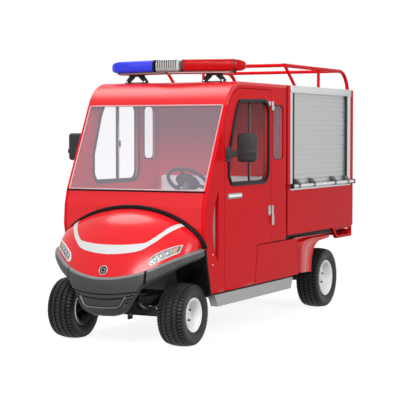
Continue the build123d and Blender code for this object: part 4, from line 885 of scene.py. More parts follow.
def lamp_ring(shrink, height):
    """The slot's outline, moved in by shrink and laid at a height over the hood."""
    run = 0.5 - 0.5 * np.cos(np.linspace(0, np.pi, LAMP_POINTS))
    along = (2 * run - 1) * (LAMP_LONG - shrink)
    half = lamp_half(along, shrink)
    back = slice(-2, 0, -1)
    side, rise = lamp_patch(np.concatenate([along, along[back]]), np.concatenate([-half, half[back]]))
    return hood_point(side, rise) + hood_normal(side, rise) * height


def lamp_band(steps, index):
    """A closed band of rings: each step is (shrink, height)."""
    return grid_shell(np.stack([lamp_ring(*step) for step in steps]), wrap_u=True, wrap_v=True, index=index)


def lamp_cover(shrink, low, high, start, stop, index=0):
    """A patch inside the slot between two places along it, domed across."""
    edge = LAMP_LONG - shrink - 0.0005
    along = np.clip(np.linspace(start, stop, 44), -edge, edge)[:, None]
    v = np.linspace(-1, 1, 14)[None, :]
    side, rise = lamp_patch(along + 0 * v, v * lamp_half(along, shrink))
    return hood_sheet(side, rise, low, high * (1 - 0.4 * v**4) + 0 * along, index)


# Lower and upper edge of the white stripe: shares of the side, then the rise there
STRIPE_REACH = 0.688
STRIPE_LOWER = (
    (0.0, 0.16, 0.265, 0.33, 0.375, 0.41, 0.452, 0.49, 0.52, 0.552, 0.592, 0.633, 0.668, 0.69),
    (0.155, 0.160, 0.167, 0.182, 0.210, 0.238, 0.272, 0.325, 0.375, 0.43, 0.52, 0.645, 0.86, 1.0),
)
STRIPE_UPPER = (
    (0.0, 0.15, 0.285, 0.345, 0.38, 0.42, 0.45, 0.48, 0.515, 0.555, 0.595, 0.632, 0.645),
    (0.236, 0.238, 0.245, 0.254, 0.280, 0.322, 0.365, 0.415, 0.495, 0.60, 0.74, 0.93, 1.0),
)
BADGE_RISE = 0.042
BADGE_FACE = (
    (0.0004, 0.005), (0.012, 0.0048), (0.022, 0.0042), (0.030, 0.003), (0.030, -0.003), (0.0004, -0.003),
)


class FIRETRUCK_OT_hood(bpy.types.Operator):
    """Makes the hood, its white stripe, the blank badge and the rubber along the cab"""

    bl_idname = "firetruck.hood"
    bl_label = "Hood"

    def execute(self, context):
        side, rise = np.meshgrid(np.linspace(-1, 1, 181), np.linspace(0, 1, 71) ** 1.4, indexing="ij")
        cover = [hood_sheet(side, rise, -0.006, 0.0)]
        piece("hood_cover", cover, "chassis", "moulded_red", "hood", 50.0)

        around = np.linspace(-STRIPE_REACH, STRIPE_REACH, 301)
        side, width = np.meshgrid(around, np.linspace(0, 1, 9), indexing="ij")
        lower, upper = eased(side, *STRIPE_LOWER, 0.012), eased(side, *STRIPE_UPPER, 0.012)
        rise = np.clip(lower + width * (upper - lower), 0.0, 0.985)
        piece("hood_stripe", [hood_sheet(side, rise, -0.001, 0.0016)], "chassis", "stripe")

        arch = arch_line(60)
        line = np.concatenate([arch[:0:-1] * np.array([-1.0, 1.0]), arch])
        path = np.column_stack([line[:, 0] * 1.012, aft(panel_y(line[:, 1])) - 0.011, line[:, 1] + 0.010])
        trim = swept(path, circle(0.0185, 16) * np.array([1.0, 0.85]), (0, 1, 0))
        piece("hood_rubber", [trim], "chassis", "seal")

        centre, normal = hood_spot(np.array([0.0]), np.array([BADGE_RISE]))
        bend = turns(12)
        ring = np.stack([0.0320 + 0.0024 * np.cos(bend), 0.0035 + 0.0030 * np.sin(bend)], -1)
        inner_ring = np.stack([0.0160 + 0.0014 * np.cos(bend), 0.0046 + 0.0014 * np.sin(bend)], -1)
        sections = ((BADGE_FACE, 0), (ring, 1), (inner_ring, 1))
        badge = [turned(section, centre, normal, 48, index) for section, index in sections]
        piece("hood_badge", badge, "chassis", "black frame_metal")
        return {"FINISHED"}


class FIRETRUCK_OT_headlamps(bpy.types.Operator):
    """Makes the two headlamps: bright bezel, reflector, bulbs, amber end and clear lens"""

    bl_idname = "firetruck.headlamps"
    bl_label = "Headlamps"

    def execute(self, context):
        shells = [
            lamp_band([(0.0, 0.0), (0.0, 0.005), (0.004, 0.0088), (0.008, 0.0078), (0.0085, 0.0)], 0),
            lamp_band([(0.0082, 0.0), (0.0082, 0.0055), (LAMP_INSERT, 0.0045), (0.0122, 0.0)], 4),
            lamp_cover(LAMP_INSERT, 0.0006, 0.0018, -LAMP_LONG, 0.058, 1),
            lamp_cover(LAMP_INSERT, 0.0006, 0.0042, 0.060, 0.092, 2),
            lamp_cover(LAMP_INSERT, 0.0006, 0.0032, 0.094, LAMP_LONG, 4),
        ]
        for place in BULBS:
            centre, normal = hood_spot(*lamp_patch(np.array([place]), np.array([0.0])))
            for section, index in ((BULB, 3), (BULB_RIM, 4)):
                shells.append(turned(section, centre, normal, 28, index))
        piece(
            "headlamp_units", both(shells), "chassis", "bezel reflector amber lamp black",
            "headlamps",
        )
        lens = [lamp_cover(0.0085, 0.0072, 0.0086, -LAMP_LONG, LAMP_LONG)]
        piece("headlamp_lenses", both(lens), "chassis", "clear")
        return {"FINISHED"}


# Strokes on the bumper's face as (|X|, Z) pairs: the raised mouth, then the slits beside it
MOUTH = ((0.0, 0.291), (0.118, 0.296), (0.147, 0.310), (0.182, 0.366))
SLITS = (((0.196, 0.374), (0.238, 0.388)), ((0.190, 0.350), (0.226, 0.362)), ((0.182, 0.326), (0.212, 0.336)))
SEAM_X = 0.318
SEAM_LEAN = 0.10
BUMPER_WALL = 0.026
BUMPER_LIP = 0.020
BUMPER_CHAMFER = 0.024
BUMPER_GRID = (601, 88)


def strokes_distance(x, z, strokes):
    """Distance of each point of the front view to the nearest of some straight strokes."""
    apart = []
    for first, last in strokes:
        ax, az = last[0] - first[0], last[1] - first[1]
        share = np.clip(((x - first[0]) * ax + (z - first[1]) * az) / (ax * ax + az * az), 0, 1)
        apart.append(np.hypot(x - first[0] - share * ax, z - first[1] - share * az))
    return np.min(apart, axis=0)


def bell(distance, width):
    """1 at no distance, falling off as a bell curve of a width."""
    return np.exp(-((distance / width) ** 2))


class FIRETRUCK_OT_bumper(bpy.types.Operator):
    """Makes the front bumper with its lip, grooves, raised mouth, slits and seams"""

    bl_idname = "firetruck.bumper"
    bl_label = "Front bumper"

    def execute(self, context):
        columns, rows = BUMPER_GRID
        share = np.linspace(-1, 1, columns)
        plan = nose_plan(0.0, NOSE_END)
        plan_length = np.linalg.norm(np.diff(plan, axis=0), axis=1).sum()
        x, y = (np.interp(np.abs(share), np.linspace(0, 1, NOSE_POINTS), line) for line in plan.T)
        x = x * np.sign(share + 1e-12)
        tangent = unit(np.gradient(np.stack([x, y], -1), axis=0))
        out = np.stack([tangent[:, 1], -tangent[:, 0]], -1)
        top, low = eased(share, TOP_SHARE, TOP_Z, 0.02), eased(share, LOW_SHARE, LOW_Z, 0.012)
        t = np.linspace(0, 1, rows)[None, :]
        z = low[:, None] + t * (top - low)[:, None]
        wide = np.abs(x)[:, None] + 0 * t
        near_top = top[:, None] - z
        slope = np.gradient(low, share * plan_length)
        near_low = (z - low[:, None]) / np.sqrt(1 + slope[:, None] ** 2)

        over_lip = np.maximum(BUMPER_LIP - near_top, 0)
        push = 0.004 * np.sin(np.pi * t)
        push = push - (BUMPER_LIP - np.sqrt(np.maximum(BUMPER_LIP**2 - over_lip**2, 0)))
        cut_edge = smooth_step(0.12, 0.20, np.abs(share))[:, None]
        push = push - 1.2 * np.maximum(BUMPER_CHAMFER * (0.35 + 0.65 * cut_edge) - near_low, 0)
        push = push - 0.030 * smooth_step(0.31, 0.22, z)

        upper_line, lower_line = 0.388 + 0.32 * wide**2, 0.353 + 0.5 * wide**2
        in_face = 1 - smooth_step(0.275, 0.300, wide)
        upper_groove = bell(z - upper_line, 0.0042) * in_face
        lower_groove = bell(z - lower_line, 0.0050) * (1 - smooth_step(0.158, 0.172, wide))
        mouth = strokes_distance(wide, z, zip(MOUTH[:-1], MOUTH[1:]))
        slit_groove = bell(strokes_distance(wide, z, SLITS), 0.0050)
        seam_gap = np.abs(wide - SEAM_X - SEAM_LEAN * (z - 0.52))
        push = push - 0.010 * upper_groove
        push = push - 0.006 * smooth_step(upper_line + 0.004, upper_line - 0.004, z) * in_face
        push = push - 0.011 * lower_groove
        push = push + 0.011 * bell(mouth, 0.0062)
        push = push - 0.009 * slit_groove
        push = push - 0.016 * (1 - smooth_step(0.0035, 0.0075, seam_gap))

        # Black faces: the seams are dark joints; in the grooves, the slits and beside the raised mouth the
        # black is painted shade.
        joint_and_groove_shade = (seam_gap < 0.0068) & (near_top > 0.004)
        joint_and_groove_shade |= np.max([upper_groove, lower_groove, slit_groove], axis=0) > 0.5
        joint_and_groove_shade |= (mouth > 0.0065) & (mouth < 0.0105) & (wide < 0.185)
        # The top lip and the crest of the raised mouth take the lighter grey: a painted highlight.
        painted_highlight = (near_top < 0.017) | (mouth < 0.0035)

        outer, back = (
            np.stack([x[:, None] + move * out[:, :1], aft(y[:, None] + move * out[:, 1:]), z], -1)
            for move in (push, -BUMPER_WALL + 0 * t)
        )
        loop = np.concatenate([outer, back[:, ::-6]], axis=1)
        points, faces, _ = grid_shell(loop, wrap_v=True, cap_u=True)
        marks = np.zeros((columns - 1, loop.shape[1]), int)
        marks[:, :rows] = np.where(joint_and_groove_shade, 1, 2 * painted_highlight)[:-1]
        shell = points, faces, np.concatenate([marks.ravel(), [0, 0]])
        piece(
            "bumper_moulding", [shell], "chassis", "bumper seal bumper_edge",
            "front_bumper", 50.0,
        )
        return {"FINISHED"}


# Cab and doors

WINDOW = (
    (0.478, 1.215), (0.478, 1.368), (0.585, 1.660), (0.650, 1.768), (1.185, 1.782), (1.185, 1.160),
    (0.520, 1.160),
)
SEAL_CORNERS = (0.040, 0.060, 0.060, 0.050, 0.085, 0.085, 0.040)
QUARTER_CENTRE = (1.385, 1.541)
QUARTER_SIZE = (0.200, 0.430)
QUARTER_CORNER = 0.045
SCREEN_FOOT = (0.117, 1.112)
SCREEN_HEAD = (0.434, 1.746)
# Section of the pale line round the windscreen, a painted highlight on the glass edge.
SCREEN_GLINT = ((0.0, -0.002), (0.0, 0.003), (0.004, 0.0045), (0.009, 0.002), (0.009, -0.004))
HALF_INSIDE = 0.570
HEM_LOW = 0.3615
HEM_HIGH = 0.3865


def side_outline(points, radius, count=9):
    """A rounded closed outline of the side view with its Y counted from the front axle."""
    return rounded(np.asarray(points, float) + AFT[1:], radius, count)


def ring_seal(outline, level, width, height, sign=1.0):
    """A rubber ring round a side view outline: a low bar with a flat foot, two shoulders and a crown."""
    inner, outer = -0.2 * width, 0.8 * width
    section = (
        (inner, -0.002 * sign), (inner, 0.6 * height * sign), (inner + 0.15 * width, height * sign),
        (outer - 0.25 * width, height * sign), (outer, 0.45 * height * sign), (outer, -0.002 * sign),
    )
    rings = [on_side(inset(outline, -outwards), level + lift) for outwards, lift in section]
    return grid_shell(np.stack(rings), wrap_u=True, wrap_v=True)


class FIRETRUCK_OT_window_seals(bpy.types.Operator):
    """Makes the rubber round the door and rear quarter windows, the sliding frames and a pale line round the
    windscreen, a painted highlight on the glass edge
    """

    bl_idname = "firetruck.window_seals"
    bl_label = "Window seals"

    def execute(self, context):
        width = context.scene.truck_sizes.seal_width
        door = side_outline(WINDOW, SEAL_CORNERS, 12)
        shells = [
            ring_seal(door, HALF_CAB, width, 0.011),
            ring_seal(door, HALF_INSIDE, width, 0.007, -1.0),
            block((0.579, 0.850, 1.158), (0.593, 0.866, 1.778), 0.003, 3, 1),
            block((0.577, 0.868, 1.158), (0.586, 0.884, 1.778), 0.003, 3, 2),
            block((0.577, 0.500, 1.156), (0.593, 1.180, 1.170), 0.003, 3, 1),
            block((0.590, 0.905, 1.420), (0.598, 0.930, 1.475), 0.003, 3, 1),
        ]
        each_side("door_*_seal", shells, "door_*", "seal black frame_metal")
        quarter = side_outline(rectangle(QUARTER_CENTRE, QUARTER_SIZE), QUARTER_CORNER)
        ring = [
            ring_seal(quarter, HALF_CAB, 0.006, 0.002), ring_seal(quarter, HALF_INSIDE, 0.012, 0.003, -1.0),
        ]
        piece("quarter_seals", both(ring), "chassis", "seal")

        foot, head = np.array(SCREEN_FOOT) + AFT[1:], np.array(SCREEN_HEAD) + AFT[1:]
        long = np.linalg.norm(head - foot)
        up = (head - foot) / long
        out = np.array([-up[1], up[0]])
        edge = rounded(rectangle((0, long / 2), (2 * HALF_INSIDE + 0.012, long)), 0.012, 6)
        rings = []
        for amount, level in SCREEN_GLINT:
            outline = inset(edge, amount)
            rings.append(np.column_stack([outline[:, 0], foot + outline[:, 1:] * up + level * out]))
        trim = grid_shell(np.stack(rings), wrap_u=True, wrap_v=True)
        piece("screen_trim", [trim], "chassis", "screen_edge")
        base = np.array([[x, *(foot - 0.006 * up + 0.003 * out)] for x in np.linspace(-0.585, 0.585, 9)])
        piece("screen_gasket", [swept(base, circle(0.006, 10))], "chassis", "seal")
        return {"FINISHED"}


HANDLE_CENTRE = (float(aft(0.580)), 1.064)
LOCK = ((0.0, 0.0003), (0.0, 0.010), (0.005, 0.010), (0.007, 0.008), (0.007, 0.0003))
RIVET = ((0.0, 0.0003), (0.0, 0.005), (0.0015, 0.0045), (0.0028, 0.0025), (0.003, 0.0003))
# Lower and upper end of each hinge; its upper half belongs to the door
HINGES = ((1.716, 1.786), (0.806, 0.962))
HINGE_PIN = (0.612, 1.252)
MIRROR_ARM = ((0.606, 0.446, 1.372), (0.622, 0.446, 1.372), (0.640, 0.462, 1.378), (0.668, 0.492, 1.388))


class FIRETRUCK_OT_door_fittings(bpy.types.Operator):
    """Makes the paddle handles, locks, hinge leaves and mirrors of both doors"""

    bl_idname = "firetruck.door_fittings"
    bl_label = "Door fittings"

    def execute(self, context):
        y, z = HANDLE_CENTRE
        dish = rounded(rectangle((y, z), (0.250, 0.042)), 0.018, 6)
        blade = rounded(rectangle((y - 0.012, z + 0.002), (0.196, 0.022)), 0.009, 6)
        shells = [
            plate(dish, HALF_CAB - 0.001, HALF_CAB + 0.004, 0.0025, on_side, 2),
            plate(blade, HALF_CAB + 0.003, HALF_CAB + 0.0115, 0.004, on_side),
            revolved(LOCK, (HALF_CAB + 0.003, y + 0.100, z), 24),
        ]
        for low, high in HINGES:
            middle = (low + high) / 2
            pin = np.linspace(middle + 0.0005, high, 5)
            knuckle = np.column_stack([np.full(5, HINGE_PIN[0]), np.full(5, aft(HINGE_PIN[1])), pin])
            shells.append(swept(knuckle, circle(0.0088, 18), (0, 1, 0), 3))
            leaf = side_outline(((1.244, middle), (1.244, high), (1.196, high), (1.196, middle)), 0.006, 4)
            shells.append(plate(leaf, HALF_CAB - 0.001, HALF_CAB + 0.0055, 0.0015, on_side, 3))
            for place in (0.30, 0.70):
                spot = (HALF_CAB + 0.005, aft(1.214), middle + (high - middle) * place)
                shells.append(revolved(RIVET, spot, 14))
        each_side(
            "door_*_handle", shells, "door_*", "chrome black liner hinge", "door_*_fittings",
        )

        head = [
            block((0.656, 0.480, 1.320), (0.814, 0.532, 1.535), 0.026, 8),
            block((0.6545, 0.4785, 1.376), (0.8155, 0.530, 1.412), 0.010, 5),
            block((0.668, 0.5305, 1.332), (0.802, 0.5345, 1.523), 0.002, 4, 1),
            swept(even_line(np.array(MIRROR_ARM) + AFT, 16), bar_section(0.022, 0.046, 0.008, 4)),
            block((0.5995, 0.418, 1.322), (0.611, 0.476, 1.432), 0.005, 4),
            block((0.604, 0.428, 1.345), (0.626, 0.462, 1.400), 0.008, 5),
        ]
        each_side(
            "door_*_mirror_head", head, "door_*", "mirror_black mirror_glass",
            "door_*_mirror",
        )
        return {"FINISHED"}


CUTOUT = ((0.320, 0.575), (0.320, 1.112), (0.200, 1.0), (0.200, 0.7))
WHEEL_PAD = (
    (0.0004, 0.028), (0.040, 0.026), (0.075, 0.018), (0.092, 0.006), (0.094, -0.004), (0.0004, -0.004),
)
WHEEL_SLOPE = math.radians(50)
BOLT = ((0.0, 0.0003), (0.0, 0.006), (0.002, 0.0055), (0.0035, 0.003), (0.0037, 0.0003))


class FIRETRUCK_OT_cab_liners(bpy.types.Operator):
    """Makes the wheel well and cut-out liners, the lower hems, black strips under the box (dark frame and
    painted shade), the steering pad and bolts
    """

    bl_idname = "firetruck.cab_liners"
    bl_label = "Cab liners"

    def execute(self, context):
        height = np.linspace(0.352, 0.690, 24)
        x, z = np.meshgrid(np.linspace(0.330, 0.596, 12), height, indexing="ij")
        skin = panel_y(z) - 0.004
        outer = np.stack([x, aft(skin), z], -1)
        inner = np.stack([x, aft(skin + 0.003), z], -1)
        edge = np.column_stack([np.full(24, 0.591), aft(panel_y(height)) - 0.010, height])
        wells = [
            grid_shell(np.concatenate([outer, inner[:, ::-1]], axis=1), wrap_v=True, cap_u=True),
            swept(edge, bar_section(0.018, 0.026, 0.006, 4), (1, 0, 0)),
        ]
        piece("wheel_well_liners", both(wells), "chassis", "seal")

        backing = [plate(side_outline(CUTOUT, 0.02, 4), 0.5645, 0.5695, 0.001, on_side)]
        piece("cutout_liners", both(backing), "chassis", "liner")

        hem = [block((0.578, 0.182, HEM_LOW), (0.5998, 0.400, HEM_HIGH), 0.002)]
        piece("cab_side_hems", both(hem), "chassis", "red")
        hem = [block((0.578, 0.409, HEM_LOW), (0.5998, 0.943, HEM_HIGH), 0.002)]
        each_side("door_*_hem", hem, "door_*", "red")
        # Black strips under the box: they stand for the dark frame there and are painted shade under the box.
        shade_strip = [block((0.497, 1.600, 0.642), (0.503, 3.040, 0.701), 0.002)]
        piece("box_shade_strips", both(shade_strip), "chassis", "chassis")

        axis = (0.0, math.cos(WHEEL_SLOPE), math.sin(WHEEL_SLOPE))
        pad = turned(WHEEL_PAD, (0.280, aft(0.430), 1.170), axis)
        piece("steering_pad", [pad], "steering_wheel", "black")

        bolts = [revolved(BOLT, (HALF_CAB - 0.0002, aft(0.205), z), 14) for z in (0.575, 0.650)]
        piece("panel_bolts", both(bolts), "chassis", "chrome")
        return {"FINISHED"}


# Light bar

BAR_TIP = (0.577, 0.820)
BAR_MIDDLE = 0.664
BAR_SWEEP = math.atan2(BAR_TIP[1] - BAR_MIDDLE, BAR_TIP[0])
BAR_REACH = math.hypot(BAR_TIP[0], BAR_TIP[1] - BAR_MIDDLE)
TRAY_LOW = 1.990
TRAY_HIGH = 2.006
LENS_HIGH = 2.099
BAR_DEPTH = 0.140
SPEAKER_HALF = 0.102
FOOT_X = 0.340
FOOT_Y = BAR_MIDDLE + FOOT_X * math.tan(BAR_SWEEP)
ROOF_TOP = 1.9255


def bar_run(along, section, middle, scale=1.0, index=0):
    """A closed section carried out along the left half of the swept bar at a height, scaled at each place."""
    out = along[:, None] + 0 * section[None, :, 0]
    across = section[None, :, 0] * scale
    x = out * math.cos(BAR_SWEEP) - across * math.sin(BAR_SWEEP)
    y = aft(BAR_MIDDLE) + out * math.sin(BAR_SWEEP) + across * math.cos(BAR_SWEEP)
    points = np.stack([x, y, middle + section[None, :, 1] * scale + 0 * x], -1)
    return grid_shell(points, wrap_v=True, cap_u=True, index=index)


def lens_shell(start, stop, share, lift, drop, round_end, index=0, flutes=0):
    """A lens along the bar: a rounded section that shrinks as a quarter ellipse towards its outer end."""
    low, high = TRAY_HIGH + lift, LENS_HIGH + drop
    straight = stop - round_end
    bend = round_end * np.sin(np.linspace(0, 1.5, 14))[1:]
    along = np.concatenate([np.linspace(start, straight, 40), straight + bend])
    over = np.clip((along - straight) / round_end, 0, 1)
    shrink = 0.25 + 0.75 * np.sqrt(np.maximum(1 - over**2, 0.0))
    ripple = 1.0 + 0.008 * np.cos(2 * np.pi * along / 0.018) * (over < 0.02) * flutes
    section = bar_section(share * BAR_DEPTH, high - low, 0.026, 8)
    return bar_run(along, section, (low + high) / 2, (shrink * ripple)[:, None], index)


class FIRETRUCK_OT_light_bar(bpy.types.Operator):
    """Makes the light bar: lenses with end modules, ribbed speaker, tray and bracket feet"""

    bl_idname = "firetruck.light_bar"
    bl_label = "Light bar"

    def execute(self, context):
        end = BAR_REACH - 0.075
        inner = SPEAKER_HALF + 0.014
        shapes = [
            # start, stop, share of the depth, lift off the tray, shift of the top, rounded end, mark, flutes
            (inner, end - 0.003, 1.0, 0.001, 0.0, 0.004, 0, 1),
            (end + 0.003, BAR_REACH, 0.97, 0.004, -0.004, 0.068, 0),
            (end - 0.004, end + 0.004, 0.95, 0.003, -0.003, 0.001, 1),
            (end + 0.008, BAR_REACH - 0.018, 0.5, 0.016, -0.030, 0.03, 2),
            (inner - 0.006, inner + 0.004, 1.02, -0.001, 0.001, 0.001, 1),
            (inner + 0.004, end - 0.006, 0.8, 0.004, -0.075, 0.002, 1),
        ]
        for number, at in enumerate(np.linspace(inner + 0.05, end - 0.05, 5)):
            shapes.append((at - 0.026, at + 0.026, 0.5, 0.012, -0.040, 0.002, 1 + number % 2))
        lens = [lens_shell(*shape) for shape in shapes]
        piece("lightbar_red", lens, "chassis", "lens_red black tail", "lightbar_lens_red")
        piece(
            "lightbar_blue", mirrored(lens), "chassis", "lens_blue black lens_inner",
            "lightbar_lens_blue",
        )

        half, y = SPEAKER_HALF, BAR_MIDDLE
        horn = [block((-half, y - 0.052, TRAY_HIGH + 0.001), (half, y + 0.070, LENS_HIGH - 0.006), 0.018, 6)]
        for x in np.linspace(-half + 0.024, half - 0.024, 9):
            low = (x - 0.0038, y - 0.0535, TRAY_HIGH + 0.030)
            high = (x + 0.0038, y + 0.060, LENS_HIGH - 0.004)
            horn.append(block(low, high, 0.003, 3, 1))
        mouth = rounded(rectangle((0.0, TRAY_HIGH + 0.020), (1.7 * half, 0.020)), 0.008, 5)
        horn.append(plate(mouth, aft(y - 0.054), aft(y - 0.046), 0.002, on_front, 2))
        piece("lightbar_horn", horn, "chassis", "speaker black liner", "lightbar_speaker")

        section = bar_section(BAR_DEPTH - 0.016, TRAY_HIGH - TRAY_LOW, 0.008, 5)
        x, y, roof = FOOT_X, FOOT_Y, ROOF_TOP
        tray = [
            bar_run(np.linspace(0.0, BAR_REACH - 0.105, 12), section, (TRAY_LOW + TRAY_HIGH) / 2),
            block((x - 0.096, y - 0.030, roof), (x + 0.096, y + 0.030, roof + 0.008), 0.003, 3, 1),
            block((x - 0.060, y - 0.024, TRAY_LOW - 0.012), (x + 0.060, y + 0.024, TRAY_LOW), 0.003, 3, 1),
        ]
        for lean in (-1, 1):
            leg = np.array([
                [x + lean * 0.086, y, roof + 0.004], [x + lean * 0.066, y, roof + 0.030],
                [x + lean * 0.030, y, TRAY_LOW - 0.004],
            ])
            tray.append(swept(even_line(leg + AFT, 10), bar_section(0.040, 0.014, 0.004, 3), (0, 1, 0), 1))
            knob = np.array([[x + lean * 0.080, y - 0.022, roof + rise] for rise in (0.006, 0.018)])
            tray.append(swept(even_line(knob + AFT, 4), circle(0.007, 10), (0, 1, 0), 2))
        piece(
            "lightbar_tray", both(tray), "chassis", "tray black chrome", "lightbar_base",
        )
        return {"FINISHED"}


# Load box

CURTAIN_X = 0.580
CURTAIN_FRONT = 1.687
CURTAIN_REAR = 2.922
CURTAIN_LOW = 1.104
CURTAIN_HIGH = 1.880
SLAT_STEPS = 12
FRAME_FACE = HALF_CAB + 0.006
BAR_X = 0.626
BAR_Z = 1.100
BAR_ENDS = (1.610, 3.050)
HOOK = ((0.5935, 1.1075), (0.6375, 1.1075), (0.6375, 1.122), (0.607, 1.156), (0.5935, 1.156))
HOOKS = (1.753, 2.077, 2.567, 2.880)
HOOK_PIN = ((0.0, 0.0003), (0.0, 0.006), (0.003, 0.005), (0.004, 0.0003))
GRIP = (
    (0.636, 2.300, 1.100), (0.640, 2.305, 1.103), (0.641, 2.330, 1.104), (0.640, 2.355, 1.103),
    (0.636, 2.360, 1.100),
)


class FIRETRUCK_OT_shutters(bpy.types.Operator):
    """Makes the slatted curtains, the frame trim, the lift bars and their latches"""

    bl_idname = "firetruck.shutters"
    bl_label = "Roller shutters"

    def execute(self, context):
        slats = context.scene.truck_sizes.slats
        share = np.linspace(0, 1, slats * SLAT_STEPS + 1)
        phase = (share * slats) % 1.0
        crown = 0.0092 + 0.0026 * np.sin(np.pi * np.clip((phase - 0.08) / 0.86, 0, 1)) ** 0.5
        crown = np.where((phase < 0.06) | (phase > 0.95), 0.0076, crown)
        z = CURTAIN_LOW + (CURTAIN_HIGH - CURTAIN_LOW) * share
        y = aft(np.linspace(CURTAIN_FRONT, CURTAIN_REAR, 6))
        front, rear = (
            np.stack(np.broadcast_arrays(CURTAIN_X + depth[None, :], y[:, None], z[None, :]), -1)
            for depth in (crown, 0 * crown)
        )
        sheet = [grid_shell(np.concatenate([front, rear[:, ::-1]], axis=1), wrap_v=True, cap_u=True)]
        curtains = each_side(
            "shutter_*_slats", sheet, "chassis", "shutter", "shutter_*_curtain", 25.0,
        )
        for (side, sign), curtain in zip(SIDES, curtains):
            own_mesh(curtain)

        face = FRAME_FACE
        trims = [
            block((0.601, 1.628, 1.8645), (face + 0.0075, 2.997, 1.9240), 0.003, 4),
            block((face, 1.634, 1.878), (face + 0.0100, 2.990, 1.886), 0.002),
            block((face - 0.004, 1.668, 1.104), (face + 0.0012, 1.702, 1.866), 0.001, 3, 1),
            block((face - 0.004, 2.880, 1.104), (face + 0.0012, 2.922, 1.866), 0.001, 3, 1),
            block((face - 0.004, 1.700, 1.092), (face + 0.0012, 2.890, 1.105), 0.001, 3, 1),
            block((face - 0.001, 1.632, 1.068), (face + 0.003, 2.993, 1.082), 0.0015),
        ]
        piece("shutter_frame_trim", both(trims), "chassis", "frame_metal seal")

        front_end, rear_end = BAR_ENDS
        along = aft(np.linspace(front_end + 0.02, rear_end - 0.02, 8))
        path = np.column_stack([np.full(8, BAR_X), along, np.full(8, BAR_Z)])
        shells = [swept(path, bar_section(0.024, 0.026, 0.009, 5))]
        hook = rounded(HOOK, 0.003, 4)
        for place in HOOKS:
            shells += [
                plate(hook, aft(place - 0.028), aft(place + 0.028), 0.0025, on_front, 3),
                block((0.612, place - 0.026, 1.085), (0.6385, place + 0.026, 1.116), 0.004, 4, 1),
                revolved(HOOK_PIN, (0.6372, aft(place), 1.101), 14, 2),
            ]
        for place in (front_end + 0.014, rear_end - 0.014):
            shells.append(block((0.6095, place - 0.014, 1.080), (0.6405, place + 0.014, 1.120), 0.005, 4, 1))
        shells.append(swept(even_line(np.array(GRIP) + AFT, 16), circle(0.004, 8), index=2))
        each_side(
            "shutter_*_lift_bar", shells, "shutter_*", "bar_white black chrome hook",
            "shutter_*_bar",
        )
        return {"FINISHED"}


# Outer edge of the fender and the three points of its arch, as (Y, Z) from the front axle
FENDER_EDGE = ((1.816, 0.368), (1.820, 0.500), (1.826, 0.626), (1.850, 0.652), (1.900, 0.658), (2.587, 0.650))
FENDER_ARCH = ((2.152, 0.360), (2.152, 0.575), (2.330, 0.606))
FENDER_X = 0.530


class FIRETRUCK_OT_fenders(bpy.types.Operator):
    """Makes the moulded rear wheel fenders with a rolled lip"""

    bl_idname = "firetruck.fenders"
    bl_label = "Rear fenders"

    def execute(self, context):
        outer = even_line(FENDER_EDGE, 120)
        t = np.linspace(0, 1, 40)[:, None]
        first, pull, last = np.array(FENDER_ARCH)
        bend = (1 - t) ** 2 * first + 2 * t * (1 - t) * pull + t**2 * last
        inner = even_line(np.concatenate([[[2.150, 0.352]], bend, [[2.587, 0.622]]]), 120)
        across = np.linspace(0, 1, 28)[None, :, None]
        flat = outer[:, None] * (1 - across) + inner[:, None] * across
        v = across[..., 0]
        ridge = 0.044 * smooth_step(0.14, 0.36, v) - 0.008 * smooth_step(0.55, 0.75, v)
        ridge = ridge + 0.010 * smooth_step(0.92, 0.985, v)
        x = FENDER_X + ridge + 0 * flat[..., 0]
        skin = np.stack([x, aft(flat[..., 0]), flat[..., 1]], -1)
        back = np.stack([np.minimum(x - 0.006, FENDER_X - 0.002), skin[..., 1], skin[..., 2]], -1)
        shells = [grid_shell(np.concatenate([skin, back[:, ::-4]], axis=1), wrap_v=True, cap_u=True)]
        piece("rear_wheel_fenders", both(shells), "chassis", "moulded_red", "rear_fenders", 40.0)
        return {"FINISHED"}


TAIL_X = 0.500
TAIL_BACK = float(aft(3.083))
# Height of each field's middle, its own height and its mark
TAIL_FIELDS = ((0.893, 0.084, 1), (0.822, 0.048, 2), (0.768, 0.048, 3))


class FIRETRUCK_OT_tail_lamps(bpy.types.Operator):
    """Makes the tail lamps: a black bezel with red, amber and clear fields"""

    bl_idname = "firetruck.tail_lamps"
    bl_label = "Tail lamps"

    def execute(self, context):
        bezel = rounded(rectangle((TAIL_X, 0.840), (0.110, 0.210)), 0.016, 6)
        shells = [plate(bezel, TAIL_BACK, TAIL_BACK + 0.012, 0.004, on_front)]
        for z, high, index in TAIL_FIELDS:
            field = rounded(rectangle((TAIL_X, z), (0.092, high)), 0.008, 5)
            shells.append(plate(field, TAIL_BACK + 0.010, TAIL_BACK + 0.0195, 0.004, on_front, index))
        piece("tail_lamp_units", both(shells), "chassis", "black tail amber bezel", "tail_lamps")
        return {"FINISHED"}


PADS = (
    # name, side view outline (Y, Z), corner radius, replaced node
    ("bench_seat", ((0.984, 0.676), (0.978, 0.768), (1.378, 0.756), (1.378, 0.676)), 0.026, "seat_cushions"),
    ("bench_back", ((1.403, 0.798), (1.447, 1.192), (1.509, 1.192), (1.509, 0.798)), 0.024, ""),
)
PAD_HALF = 0.515
SWELL = 0.010
CLOTH_FRAMES = 20


class FIRETRUCK_OT_bench(bpy.types.Operator):
    """Makes the bench cushion and backrest as filled pads"""

    bl_idname = "firetruck.bench"
    bl_label = "Bench"

    def execute(self, context):
        for name, outline, corner, replaces in PADS:
            shell = plate(side_outline(outline, corner, 6), -PAD_HALF, PAD_HALF, 0.020, on_side)
            pad = piece(name, [shell], "chassis", "bench", replaces)
            fill_pad(pad, SWELL)
        return {"FINISHED"}


